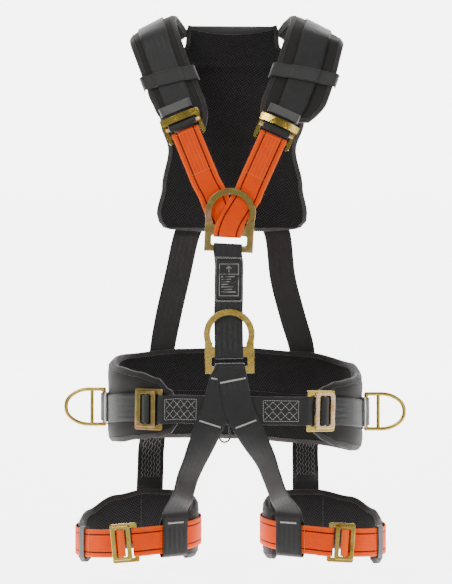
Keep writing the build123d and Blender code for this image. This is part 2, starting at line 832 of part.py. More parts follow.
# ---------------------------------------------------------------- keepers
def closed_keeper(center, n, t_half_n, z_half, width_dir, hw):
    """A band round webbing: a rounded rectangle in the (n, up) plane, its own width along width_dir."""
    up = (0.0, 0.0, 1.0)
    pts = []
    r = min(2.0, t_half_n)
    for cn, cz, a0 in (
        (t_half_n - r, z_half - r, 0),
        (-(t_half_n - r), z_half - r, 90),
        (-(t_half_n - r), -(z_half - r), 180),
        (t_half_n - r, -(z_half - r), 270),
    ):
        for a in (0, 45, 90):
            b = radians(a0 + a)
            pts.append((cn + r * cos(b), cz + r * sin(b)))
    # the join is half way up the back, where it is hidden
    pts = pts[6:] + pts[:6]
    out = []
    path = [(-t_half_n, -0.4)] + pts + [(-t_half_n, 0.4)]
    for a, b in path:
        c = vadd(vadd(center, vmul(n, a)), vmul(up, b))
        out.append(tuple(c) + tuple(width_dir) + (hw,))
    return out


KEEPERS = []
for _s, _run in (("l", S_KL), ("r", S_KR)):
    _c, _n, _t = on_waist(_run, belt_bump(_run) + 0.45)
    KEEPERS.append(
        ("belt_keeper_" + _s, closed_keeper(_c, _n, 2.45, 25.2, _t, 8.0), 1.2)
    )
for _s in "lr":
    _x = -239.0 if _s == "l" else 233.5
    _run = run_at_x(LEG[_s], _x, left=_s == "l")
    (_px, _py), (_nx, _ny), _t = on_loop(LEG[_s], _run)
    _c = (_px, _py, leg_z(_s, _px))
    KEEPERS.append(
        (
            "leg_keeper_" + _s,
            closed_keeper(_c, (_nx, _ny, 0.0), 2.7, 25.4, (_t[0], _t[1], 0.0), 7.5),
            1.2,
        )
    )
for _s in "lr":
    _fr = shoulder_frames(_s, 25)
    # wide band over pad and webbing
    _i = 18
    _e0, _e1, _n, _t = _fr[_i]
    _w = vunit(vsub(_e1, _e0))
    _rows = []
    _span = vlen(vsub(_e1, _e0))
    for _d, _h in (
        (-3.4, -9.0),
        (-3.0, -3.0),
        (0.5, 1.6),
        (8.0, 2.0),
        (_span / 2 - 25.5, 2.4),
        (_span / 2 - 22.5, 4.4),
        (_span / 2, 4.6),
        (_span / 2 + 22.5, 4.4),
        (_span / 2 + 25.5, 2.4),
        (_span - 8.0, 2.0),
        (_span - 0.5, 1.6),
        (_span + 3.0, -3.0),
        (_span + 3.4, -9.0),
    ):
        _p = vadd(vadd(_e0, vmul(_w, _d)), vmul(_n, _h))
        _rows.append(tuple(_p) + tuple(_t) + (12.0,))
    KEEPERS.append(("pad_band_" + _s, _rows, 1.2))
    # narrow band just above the adjuster
    _a = ADJ[_s]
    _rows = []
    for _d, _h in ((-25.6, -6.6), (-25.6, -3.6), (-24.0, -1.6), (0.0, -1.2), (24.0, -1.6), (25.6, -3.6), (25.6, -6.6)):
        _rows.append(tuple(_a.at(_d, 31.0, _h + 1.5)) + tuple(_a.v) + (7.0,))
    KEEPERS.append(("strap_keeper_" + _s, _rows, 1.1))

CORD = [
    (-17.0, -142.8, -18.0),
    (-20.5, -141.0, -36.0),
    (-21.5, -138.5, -47.0),
    (-14.0, -138.5, -53.5),
    (-4.5, -139.0, -48.0),
    (-6.0, -141.0, -36.0),
    (-9.0, -142.8, -18.0),
]
# the printed patch, in front of the label strap
PATCH = [
    (-6.2, -137.0, 231.0, 1.0, 0.0, 0.0, 19.5),
    (-6.4, -136.6, 200.0, 1.0, 0.0, 0.0, 19.5),
    (-6.6, -137.5, 170.0, 1.0, 0.0, 0.0, 19.5),
]

# ---------------------------------------------------------------- solids
NODES = {}


def quad_loft(sections):
    wires = [Wire.make_polygon([Vector(*p) for p in s], close=True) for s in sections]
    solid = Solid.make_loft(wires, ruled=True)
    if solid.volume < 0:
        solid = Solid(solid.wrapped.Reversed())
    return solid


def ribbon(stations, thick=WT):
    """Webbing: a solid of rectangular section along its stations."""
    n, secs, last = len(stations), [], None
    for i, s in enumerate(stations):
        c, w, hw = s[:3], vunit(s[3:6]), s[6]
        t = vunit(vsub(stations[min(i + 1, n - 1)][:3], stations[max(i - 1, 0)][:3]))
        m = vunit(vcross(w, t))
        if last is not None and vdot(m, last) < 0:
            m = vmul(m, -1.0)
        last = m
        a, b = vmul(w, hw), vmul(m, thick / 2)
        secs.append(
            [
                vsub(vsub(c, a), b),
                vsub(vadd(c, a), b),
                vadd(vadd(c, a), b),
                vadd(vsub(c, a), b),
            ]
        )
    return quad_loft(secs)


def wrap_band(curve, runs, z_lo, z_hi, o_in, o_out):
    """A layer of a pad standing round a body loop, between two offsets."""
    secs = []
    for i, s in enumerate(runs):
        (x, y), (nx, ny), _t = on_loop(curve, s)
        a = (x + nx * o_in, y + ny * o_in)
        b = (x + nx * o_out, y + ny * o_out)
        lo, hi = z_lo[i], z_hi[i]
        secs.append([a + (lo,), b + (lo,), b + (hi,), a + (hi,)])
    return quad_loft(secs)


def soft_round(shape, edges, radius):
    for r in (radius, radius * 0.7, radius * 0.4):
        try:
            out = shape.fillet(r, edges)
            if out.is_valid:
                return out
        except Exception:
            pass
    return shape


def placed(shape, place):
    plane = Plane(origin=place.o, x_dir=place.u, z_dir=place.n)
    return plane.location * shape


def put(name, shape):
    NODES[name] = shape


# webbing
for _name in (
    "chest_webbing",
    "label_strap",
    "riser_l",
    "riser_r",
    "shoulder_webbing_l",
    "shoulder_webbing_r",
    "back_webbing_l",
    "back_webbing_r",
    "rear_leg_strap_l",
    "rear_leg_strap_r",
    "belt_front",
    "belt_webbing",
    "leg_strap_l",
    "leg_strap_r",
):
    put(_name, ribbon(PATHS[_name]))

# waist pad: lining, foam and cover, higher at the back and tapered to its front ends
for _name, _oi, _oo, _in in (
    ("waist_pad_lining", -20.6, -18.2, 1.5),
    ("waist_pad_foam", -18.0, -5.6, 0.0),
    ("waist_pad_cover", -5.4, -3.0, 1.5),
):
    _runs = PAD_RUNS
    put(
        _name,
        wrap_band(
            WAIST,
            _runs,
            [waist_pad_z(s)[0] + _in for s in _runs],
            [waist_pad_z(s)[1] - _in for s in _runs],
            _oi,
            _oo,
        ),
    )

# leg pads
for _s in "lr":
    for _name, _oi, _oo, _in in (
        ("lining", -17.0, -14.6, 1.2),
        ("cover", -14.4, -3.4, 0.0),
    ):
        _runs = LEG_RUNS[_s]
        put(
            "leg_pad_%s_%s" % (_s, _name),
            wrap_band(
                LEG[_s],
                _runs,
                [leg_pad_z(_s, r)[0] + _in for r in _runs],
                [leg_pad_z(_s, r)[1] - _in for r in _runs],
                _oi,
                _oo,
            ),
        )

# back pad: three flat layers, leaning forward as they rise
_tilt = Plane(
    origin=(0, back_y(290.0), 290.0), x_dir=(1, 0, 0), z_dir=vunit((0.0, 1.0, -SLOPE))
)
for _name, _d0, _d1, _in in (
    ("back_pad_cover", -2.4, 0.0, 1.5),
    ("back_pad_foam", -14.0, -2.6, 0.0),
    ("back_pad_lining", -16.6, -14.2, 1.5),
):
    _k = sqrt(1 + SLOPE * SLOPE)
    _pts = [(x, -(z - 290.0) * _k) for x, z in YOKE]
    with BuildSketch() as _sk:
        with BuildLine():
            Polyline(*_pts, close=True)
        make_face()
        if _in:
            offset(amount=-_in, kind=Kind.INTERSECTION)
    _solid = extrude(_sk.sketch, amount=_d1 - _d0)
    put(_name, _tilt.location * Pos(0, 0, _d0) * _solid)

# shoulder pads: core and cover
for _s in "lr":
    _fr = shoulder_frames(_s, 25)
    for _name, _d0, _d1, _in in (("core", -15.5, -2.8, 0.0), ("cover", -2.6, 0.0, 1.2)):
        _secs = []
        for _i, (_a, _b, _n, _t) in enumerate(_fr):
            _w = vunit(vsub(_b, _a))
            _shrink = _in
            _j = len(_fr) - 1 - _i
            if _j < 3:
                _shrink += (16.0, 7.0, 2.0)[_j]
            _p, _q = vadd(_a, vmul(_w, _shrink)), vsub(_b, vmul(_w, _shrink))
            _secs.append(
                [
                    vadd(_p, vmul(_n, _d0)),
                    vadd(_q, vmul(_n, _d0)),
                    vadd(_q, vmul(_n, _d1)),
                    vadd(_p, vmul(_n, _d1)),
                ]
            )
        put("shoulder_pad_%s_%s" % (_s, _name), quad_loft(_secs))


# ---- stamped attachment rings
def stamped_ring(round_eye):
    """Arched plate: an eye above, a cross bar, a webbing slot and a bottom bar."""
    with BuildSketch() as sk:
        with Locations((0, R_C)):
            Circle(R_OUT)
        with Locations((0, (R_C + R_BOT) / 2)):
            Rectangle(2 * 38.6, R_C - R_BOT)
        with Locations((0, R_C)):
            Circle(R_EYE, mode=Mode.SUBTRACT)
        if not round_eye:
            # below the eye's middle the webbing fills a straight-sided throat
            with Locations((0, (EYE_FLAT + R_C - 13.5) / 2)):
                RectangleRounded(2 * 26.6, R_C - 13.5 - EYE_FLAT, 2.0, mode=Mode.SUBTRACT)
        with Locations((0, (SLOT_HI + SLOT_LO) / 2)):
            RectangleRounded(56.0, SLOT_HI - SLOT_LO, 3.0, mode=Mode.SUBTRACT)
    if not round_eye:
        with BuildSketch() as fill:
            with Locations((0, (EYE_FLAT + R_C - R_EYE) / 2 - 2)):
                Rectangle(60.0, EYE_FLAT - (R_C - R_EYE) + 4)
        body = extrude(sk.sketch + fill.sketch, amount=PLATE / 2, both=True)
    else:
        body = extrude(sk.sketch, amount=PLATE / 2, both=True)
    ring = Solid(body.solids()[0].wrapped)
    faces = ring.faces().sort_by(Axis.Z)
    return soft_round(ring, list(faces[0].edges()) + list(faces[-1].edges()), RING_ROUND)


_ring = stamped_ring(False)
put("sternal_ring", placed(_ring, STERNAL))
put("ventral_ring", placed(_ring, VENTRAL))
put("dorsal_ring", placed(stamped_ring(True), DORSAL))

# the plate that holds the crossing of the shoulder webbing on the back
with BuildSketch() as _sk:
    RectangleRounded(104.0, 46.0, 9.0)
_dp = extrude(_sk.sketch, amount=2.4)
_dplace = Place((0.0, back_y(470.0) + 0.5, 470.0), (1.0, 0.0, 0.0), (0.0, -SLOPE, -1.0))
put("dorsal_plate", placed(_dp, _dplace))


# ---- side rings: a D of round bar with a slot bar for the belt
def side_ring(k):
    """k is -1 on the -X side: the D reaches outward, the slot's inner bar lies under the webbing."""
    rr = 3.2
    h = D_H / 2 - rr
    x0, x1, x2 = 0.0, D_CROSS, D_REACH - rr
    rise = x2 - x1
    with BuildLine() as path:
        l1 = Line((x0, -h), (x0, h))
        l2 = Line(l1 @ 1, (x1 + 4, h))
        l3 = Spline(
            [(x1 + 4, h), (x1 + 4 + (rise - 4) * 0.72, h * 0.70), (x2, 0)],
            tangents=[(1, 0), (0, -1)],
        )
        l4 = Spline([(x2, 0), (x1 + 4 + (rise - 4) * 0.72, -h * 0.70), (x1 + 4, -h)], tangents=[(0, -1), (-1, 0)])
        l5 = Line(l4 @ 1, l1 @ 0)
    wire = path.wire()
    with BuildSketch(Plane(origin=(x1 + 2, h, 0), x_dir=(0, 1, 0), z_dir=(1, 0, 0))) as prof:
        Circle(rr)
    ring = sweep(sections=prof.sketch, path=wire, transition=Transition.ROUND)
    cross = Pos(x1, 0, 0) * Rot(90, 0, 0) * Cylinder(2.9, 2 * h)
    return ring + cross


for _s, _k in (("l", -1.0), ("r", 1.0)):
    _pl = SIDE[_s]
    put("side_ring_" + _s, placed(side_ring(_k), _pl))


# ---- pass-through buckles
def female_plate(w, h, inner):
    bar, slot, web, rim = 6.5, 7.5, 3.0, 5.0
    main = w - bar - slot - web - rim
    with BuildSketch() as sk:
        RectangleRounded(w, h, 3.5)
        with Locations((inner * (w / 2 - bar - slot / 2), 0)):
            RectangleRounded(slot, 48.0, 2.0, mode=Mode.SUBTRACT)
        with Locations((-inner * (w / 2 - rim - main / 2), 0)):
            RectangleRounded(main, 50.0, 2.5, mode=Mode.SUBTRACT)
    body = extrude(sk.sketch, amount=FEM_T)
    body = Solid(body.solids()[0].wrapped)
    faces = body.faces().sort_by(Axis.Z)
    return Pos(0, 0, FEM_N) * soft_round(body, list(faces[-1].edges()) + list(faces[0].edges()), 1.1)


def male_link(scale=1.0):
    w, h = LINK_W * scale, LINK_H * scale
    with BuildSketch() as sk:
        RectangleRounded(w, h, 5.0)
        RectangleRounded(LINK_OW * scale, LINK_OH * scale, 2.5, mode=Mode.SUBTRACT)
    body = extrude(sk.sketch, amount=LINK_T)
    body = Solid(body.solids()[0].wrapped)
    faces = body.faces().sort_by(Axis.Z)
    body = soft_round(body, list(faces[-1].edges()) + list(faces[0].edges()), 1.5)
    bar = Pos(0, 0, LINK_T / 2) * Rot(90, 0, 0) * Cylinder(1.9, LINK_OH * scale + 3)
    return body + bar


def link_wrap(scale, rx, rz):
    """Webbing folded round the link's middle bar."""
    with BuildSketch() as sk:
        Ellipse(rx, rz)
        Circle(2.2, mode=Mode.SUBTRACT)
    return Rot(90, 0, 0) * extrude(sk.sketch, amount=(LINK_OH * scale - 2.4) / 2, both=True)


for _name, (_pl, _inner, _w, _h) in BUCKLES.items():
    put("plate_" + _name, placed(female_plate(_w, _h, _inner), _pl))
    _sc = 1.0 if _name.startswith("waist") else 0.94
    _sh = Pos(-_inner * LINK_SHIFT[_name], 0.6, LINK_N)
    put("link_" + _name, placed(_sh * male_link(_sc), _pl))
    put("wrap_" + _name, placed(_sh * Pos(0, 0, LINK_T / 2) * link_wrap(_sc, 6.4 * _sc, 4.3), _pl))


# ---- shoulder adjusters
def adjuster_frame():
    """Two posts joined by a fixed bar, and a top bar that bows out over the webbing."""
    with BuildSketch() as posts:
        with Locations((0, -3.0)):
            RectangleRounded(62.0, 41.0, 5.0)
    flat = extrude(posts.sketch, amount=2.0, both=True)
    flat = flat - (Pos(0, -0.4, 0) * Box(50.6, 20.8, 12) + Pos(0, -21.2, 0) * Box(50.6, 14.0, 12))
    with BuildSketch(Plane.XZ) as bow:
        with BuildLine():
            ThreePointArc((-32.5, 1.0), (0, 9.0), (32.5, 1.0))
            Line((32.5, 1.0), (32.5, -2.0))
            Line((32.5, -2.0), (27.0, -2.0))
            ThreePointArc((27.0, -2.0), (0, 4.8), (-27.0, -2.0))
            Line((-27.0, -2.0), (-32.5, -2.0))
            Line((-32.5, -2.0), (-32.5, 1.0))
        make_face()
    bar = Pos(0, 18.5, 0) * extrude(bow.sketch, amount=11.0)
    return flat, bar


def adjuster():
    flat, bar = adjuster_frame()
    lo = flat & Pos(0, -14, 0) * Box(80, 46, 20)
    out = lo + bar
    solids = out.solids().sort_by(SortBy.VOLUME)
    return Solid(solids[-1].wrapped)


_adj = adjuster()
for _s in "lr":
    put("adjuster_" + _s, placed(_adj, ADJ[_s]))
    _bar = Rot(0, 90, 0) * Cylinder(2.8, 58.0)
    put("adjuster_bar_" + _s, placed(Pos(0, 0, 5.4) * _bar, ADJ[_s]))

# ---- keepers
for _name, _st, _t in KEEPERS:
    put(_name, ribbon(_st, _t))

# cord loop under the belt's middle
with BuildLine() as _cl:
    Spline(*[Vector(*p) for p in CORD])
with BuildSketch(Plane(origin=_cl.wire() @ 0, z_dir=_cl.wire() % 0)) as _cs:
    Circle(1.5)
put("cord_loop", sweep(sections=_cs.sketch, path=_cl.wire()))

# the printed patch on the label strap
put("label_patch", ribbon(PATCH, 0.8))

for _name, _shape in NODES.items():
    export_step(_shape, "parts/%s.step" % _name)
    print(_name, round(sum(s.volume for s in _shape.solids())))
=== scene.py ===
import random

import bmesh
import bpy
from math import atan, atan2, cos, pi, radians, sin, sqrt
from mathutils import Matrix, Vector


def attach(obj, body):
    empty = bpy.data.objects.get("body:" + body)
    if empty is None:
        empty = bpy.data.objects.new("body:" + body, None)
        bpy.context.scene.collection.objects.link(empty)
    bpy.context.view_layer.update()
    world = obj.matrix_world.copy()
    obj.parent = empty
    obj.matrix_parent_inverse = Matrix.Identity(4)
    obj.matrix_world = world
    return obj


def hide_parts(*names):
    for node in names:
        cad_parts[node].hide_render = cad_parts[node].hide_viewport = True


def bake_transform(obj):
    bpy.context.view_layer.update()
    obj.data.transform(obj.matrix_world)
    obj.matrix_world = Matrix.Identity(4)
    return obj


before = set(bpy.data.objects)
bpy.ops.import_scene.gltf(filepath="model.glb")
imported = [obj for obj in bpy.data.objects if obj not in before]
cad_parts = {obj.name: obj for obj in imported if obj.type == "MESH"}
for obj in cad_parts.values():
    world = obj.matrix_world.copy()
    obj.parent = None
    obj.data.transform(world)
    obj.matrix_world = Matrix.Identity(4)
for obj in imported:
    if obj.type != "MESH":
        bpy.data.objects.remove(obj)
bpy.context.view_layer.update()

rng = random.Random(7)
MM = 0.001
QUICK = bool(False)
# ---------------------------------------------------------------- vectors
def vadd(a, b):
    return tuple(p + q for p, q in zip(a, b))


def vsub(a, b):
    return tuple(p - q for p, q in zip(a, b))


def vmul(a, k):
    return tuple(p * k for p in a)


def vdot(a, b):
    return sum(p * q for p, q in zip(a, b))


def vcross(a, b):
    return (a[1] * b[2] - a[2] * b[1], a[2] * b[0] - a[0] * b[2], a[0] * b[1] - a[1] * b[0])


def vlen(a):
    return sqrt(sum(p * p for p in a))


def vunit(a):
    n = vlen(a)
    return vmul(a, 1.0 / n)


def spline(points, count, closed=False):
    """Points of any length, spaced evenly along a Catmull-Rom curve through them."""
    pts = [tuple(float(x) for x in p) for p in points]
    n = len(pts)
    fine = []
    spans = n if closed else n - 1
    for i in range(spans):
        if closed:
            p0, p1, p2, p3 = (pts[(i + k - 1) % n] for k in range(4))
        else:
            p1, p2 = pts[i], pts[i + 1]
            p0 = pts[i - 1] if i else vsub(vmul(p1, 2), p2)
            p3 = pts[i + 2] if i + 2 < n else vsub(vmul(p2, 2), p1)
        for j in range(24):
            t = j / 24.0
            fine.append(
                tuple(
                    0.5
                    * (
                        2 * b
                        + (c - a) * t
                        + (2 * a - 5 * b + 4 * c - d) * t * t
                        + (3 * b - a - 3 * c + d) * t ** 3
                    )
                    for a, b, c, d in zip(p0, p1, p2, p3)
                )
            )
    fine.append(pts[0] if closed else pts[-1])
    return even(fine, count)


def even(fine, count):
    run = [0.0]
    for a, b in zip(fine, fine[1:]):
        run.append(run[-1] + vlen(vsub(b[:3], a[:3])))
    out, k = [], 0
    for i in range(count):
        s = run[-1] * i / (count - 1)
        while k < len(run) - 2 and run[k + 1] < s:
            k += 1
        d = run[k + 1] - run[k]
        t = 0 if d == 0 else (s - run[k]) / d
        out.append(tuple(a + (b - a) * t for a, b in zip(fine[k], fine[k + 1])))
    return out


def lerp_table(table, x):
    """Piecewise smooth value of a (x, value...) table."""
    if x <= table[0][0]:
        return table[0][1:]
    for a, b in zip(table, table[1:]):
        if x <= b[0]:
            t = (x - a[0]) / (b[0] - a[0])
            t = t * t * (3 - 2 * t)
            return tuple(p + (q - p) * t for p, q in zip(a[1:], b[1:]))
    return table[-1][1:]


# ---------------------------------------------------------------- body loops
def loop_curve(cx, cy, a, b, power, count=720):
    """A rounded closed curve seen from above: list of (x, y, nx, ny, run), starting at the front centre and going to -X, the back, then +X."""
    pts = []
    for i in range(count):
        t = -pi / 2 - 2 * pi * i / count
        c, s = cos(t), sin(t)
        pts.append(
            (
                cx + a * (1 if c > 0 else -1) * abs(c) ** (2 / power),
                cy + b * (1 if s > 0 else -1) * abs(s) ** (2 / power),
            )
        )
    out, run = [], 0.0
    for i, p in enumerate(pts):
        q, r = pts[i - 1], pts[(i + 1) % count]
        tx, ty = r[0] - q[0], r[1] - q[1]
        m = sqrt(tx * tx + ty * ty)
        if i:
            run += sqrt((p[0] - pts[i - 1][0]) ** 2 + (p[1] - pts[i - 1][1]) ** 2)
        out.append((p[0], p[1], ty / m, -tx / m, run))
    # the outward normal points away from the centre
    return [
        (x, y, nx, ny, run) if nx * (x - cx) + ny * (y - cy) > 0 else (x, y, -nx, -ny, run)
        for x, y, nx, ny, run in out
    ]


def on_loop(curve, run):
    """Point, outward normal and tangent of a loop at a length along it."""
    last = curve[-1]
    total = last[4] + sqrt((last[0] - curve[0][0]) ** 2 + (last[1] - curve[0][1]) ** 2)
    run %= total
    lo, hi = 0, len(curve) - 1
    while hi - lo > 1:
        mid = (lo + hi) // 2
        if curve[mid][4] <= run:
            lo = mid
        else:
            hi = mid
    a = curve[lo]
    if run >= curve[-1][4]:
        a, b, span = curve[-1], curve[0], total - curve[-1][4]
    else:
        b, span = curve[hi], curve[hi][4] - a[4]
    t = (run - a[4]) / span
    x, y, nx, ny = (p + (q - p) * t for p, q in zip(a[:4], b[:4]))
    m = sqrt(nx * nx + ny * ny)
    nx, ny = nx / m, ny / m
    return (x, y), (nx, ny), (ny, -nx)


def loop_total(curve):
    last = curve[-1]
    return last[4] + sqrt((last[0] - curve[0][0]) ** 2 + (last[1] - curve[0][1]) ** 2)


def run_at_x(curve, x, front=True, left=True):
    """Length along the loop at which it passes x, on the front or the back, on the -X or +X half."""
    best = None
    for px, py, nx, ny, run in curve:
        if (ny < 0) != front:
            continue
        if left != (run < loop_total(curve) / 2):
            continue
        if best is None or abs(px - x) < best[0]:
            best = (abs(px - x), run)
    return best[1]
# ---------------------------------------------------------------- where things sit
WT = 2.0  # webbing thickness
HW = 22.5  # half of the 45 mm webbing
WAIST = loop_curve(4.0, 0.0, 211.5, 146.0, 2.6)
LEG = {
    "l": loop_curve(-154.0, -29.0, 102.0, 96.0, 2.2),
    "r": loop_curve(147.0, -29.0, 102.0, 96.0, 2.2),
}


def waist_z(x, y=-146.0):
    """Height of the belt's centreline: level at the front, a little lower at the sides and back."""
    t = min(max((y + 122.0) / 70.0, 0.0), 1.0)
    return -4.0 - 0.019 * x - 7.5 * t * t * (3 - 2 * t)


def leg_z(side, x):
    """Height of the leg strap's centreline: higher on the inner side."""
    return (-213.5 + (x + 154.0) * 0.075) if side == "l" else (-212.5 - (x - 147.0) * 0.07)


S_PL, S_PR = run_at_x(WAIST, -130.7), run_at_x(WAIST, 136.6, left=False)  # waist buckles
S_DL, S_DR = run_at_x(WAIST, -207.0), run_at_x(WAIST, 215.0, left=False)
TOTAL = loop_total(WAIST)


def run_at_y(curve, y, left):
    best = None
    for px, py, nx, ny, run in curve:
        if left != (run < loop_total(curve) / 2):
            continue
        if best is None or abs(py - y) < best[0]:
            best = (abs(py - y), run)
    return best[1]


S_DL, S_DR = run_at_y(WAIST, -8.0, True), run_at_y(WAIST, -8.0, False)  # side rings
S_KL, S_KR = run_at_y(WAIST, -44.0, True), run_at_y(WAIST, -44.0, False)  # belt keepers
D_BUMP = 9.0  # how far the side ring's inner bar lifts the belt webbing


def belt_bump(run):
    out = 0.0
    for s in (S_DL, S_DR):
        d = abs(run - s)
        if d < 26:
            out = max(out, D_BUMP * (0.5 + 0.5 * cos(pi * d / 26)) ** 0.8)
    return out


def on_waist(run, off=0.0, dz=0.0):
    (x, y), (nx, ny), (tx, ty) = on_loop(WAIST, run)
    return (x + nx * off, y + ny * off, waist_z(x, y) + dz), (nx, ny, 0.0), (tx, ty, 0.0)


def steps(a, b, n):
    return [a + (b - a) * i / (n - 1) for i in range(n)]


class Place:
    """A flat part's own axes: u across, v up, n outward."""

    def __init__(self, o, u, v):
        self.o, self.u = o, vunit(u)
        self.n = vunit(vcross(u, v))
        self.v = vcross(self.n, self.u)

    def at(self, u, v, n=0.0):
        return tuple(
            o + a * u + b * v + c * n for o, a, b, c in zip(self.o, self.u, self.v, self.n)
        )


def roll(deg):
    a = radians(deg)
    return (cos(a), 0.0, sin(a)), (-sin(a), 0.0, cos(a))


STERNAL = Place((-4.7, -130.0, 294.5), *roll(-3.0))
VENTRAL = Place((-5.8, -143.0, 104.0), *roll(0.8))
SLOPE = -0.115  # how the back plate leans forward as it rises


def back_y(z):
    return 152.0 + (z - 290.0) * SLOPE


DORSAL = Place((0.0, back_y(407.5) + 11.2, 407.5), (1.0, 0.0, 0.0), (0.0, -SLOPE, -1.0))
# ring sizes, along the ring's own v from its middle
R_TOP, R_OUT, R_EYE = 50.5, 40.0, 30.0
R_C = R_TOP - R_OUT  # centre of the arch and the eye
EYE_FLAT, SLOT_HI, SLOT_LO, R_BOT = R_C - 19.0, -25.0, -40.0, -50.5
PLATE = 5.0  # ring plate
RING_ROUND = 1.0  # rounding of the ring plates' edges
RS = PLATE / 2 + 0.9 + WT / 2  # webbing centre over a ring plate
FOLD_C, FOLD_S = SLOT_HI + 2.5, SLOT_LO - 2.5  # fold centres on the two bars


def arc(place, vc, nc, r, a0, a1, n, u=0.0):
    """Points on a fold round a bar: angle 0 is along +v, 90 is along +n."""
    out = []
    for i in range(n):
        a = radians(a0 + (a1 - a0) * i / (n - 1))
        out.append(place.at(u, vc + r * cos(a), nc + r * sin(a)))
    return out


ADJ = {}
for _s, _o in (("l", (-79.4, -119.0, 444.8)), ("r", (68.3, -119.0, 436.1))):
    _target = (-7.0, -131.0, 268.0)
    _d = vunit(vsub(_o, _target))
    _u = (_d[2], 0.0, -_d[0])
    ADJ[_s] = Place(_o, _u, _d)

# ---------------------------------------------------------------- webbing paths
# each station: centre x y z, width vector x y z, half width


def sta(point, width, hw=HW):
    return tuple(point) + tuple(vunit(width)) + (hw,)


PATHS = {}

# chest webbing: one length, folded round both adjusters' lower bars and the sternal ring's cross bar
_L, _R = ADJ["l"], ADJ["r"]
_x = (1.0, 0.0, 0.0)


def _adj_end(a):
    fold = [a.at(0, -95, -1.3), a.at(0, -62, -1.3), a.at(0, -31, -1.8), a.at(0, -19, -3.5)]
    fold += arc(a, -12.5, 0.0, 3.9, -105, 105, 9)
    fold += [a.at(0, -19, 3.5), a.at(0, -31, 2.2), a.at(0, -62, 1.2), a.at(0, -98, 1.2)]
    return fold


_pl = [sta(p, _L.u) for p in _adj_end(_L)]
_pr = [sta(p, _R.u) for p in _adj_end(_R)]
_S = STERNAL
_mid = [
    sta(_S.at(-18.0, 42.0, -7.0), (0.93, 0, 0.37)),
    sta(_S.at(-12.5, 22.0, -6.6), (0.94, 0, 0.34)),
    sta(_S.at(-7.0, 2.0, -6.0), (0.955, 0, 0.28), 22.0),
    sta(_S.at(-4.0, -10.0, -RS), (0.98, 0, 0.14), 22.0),
    sta(_S.at(-3.0, FOLD_C, -RS), (1, 0, -0.05), 22.0),
]
_mid += [sta(p, (1, 0, -0.05), 22.0) for p in arc(_S, FOLD_C, 0.0, RS, -110, -250, 7, -3.0)]
_mid += [
    sta(_S.at(-3.0, FOLD_C, RS), (1, 0, -0.05), 22.3),
    sta(_S.at(-0.5, EYE_FLAT - 3, RS), (0.97, 0, -0.2), 22.0),
    sta(_S.at(1.4, -4.0, 4.2), (0.955, 0, -0.29), 21.0),
    sta(_S.at(3.4, 3.0, 2.2), (0.94, 0, -0.34), 20.8),
    sta(_S.at(6.4, 10.0, -2.2), (0.925, 0, -0.38), 20.6),
    sta(_S.at(11.0, 20.0, -4.6), (0.915, 0, -0.40), 21.6),
    sta(_S.at(20.0, 39.0, -RS - 0.1), (0.91, 0, -0.41)),
]
PATHS["chest_webbing"] = _pl + _mid + _pr[::-1]

# label strap: a closed band between the two rings, joined behind
_V = VENTRAL
_uS, _uV = STERNAL.u, VENTRAL.u
_b = [sta((-6.4, -131.2, 196.0), _x), sta((-6.2, -129.5, 225.0), _x)]
_b += [sta(_S.at(-1.2, -49.0, -RS), _uS)]
_b += [sta(p, _uS) for p in arc(_S, FOLD_S, 0.0, RS, -80, 80, 7, -1.2)]
_b += [
    sta(_S.at(-1.2, -49.0, RS), _uS),
    sta((-6.2, -135.0, 225.0), _x),
    sta((-6.6, -134.6, 196.0), _x),
    sta((-6.6, -136.0, 170.0), _x),
    sta(_V.at(-0.8, 46.0, -RS - 0.2), _uV),
    sta(_V.at(-0.8, 28.0, -RS - 0.1), _uV, 22.3),
    sta(_V.at(-0.8, 14.0, -2.2), _uV, 22.3),
    sta(_V.at(-0.8, 0.0, 2.4), _uV, 22.0),
    sta(_V.at(-0.8, EYE_FLAT - 3, RS), _uV, 22.0),
    sta(_V.at(-0.8, FOLD_C, RS), _uV, 22.3),
]
_b += [sta(p, _uV) for p in arc(_V, FOLD_C, 0.0, RS, 110, 250, 7, -0.8)]
_b += [
    sta(_V.at(-0.8, FOLD_C, -RS), _uV),
    sta(_V.at(-0.8, 4.0, -RS - 1.0), _uV),
    sta(_V.at(-0.8, 44.0, -RS - 2.9), _uV),
    sta((-6.5, -132.6, 172.0), _x),
    sta((-6.4, -131.6, 198.5), _x),
]
PATHS["label_strap"] = _b


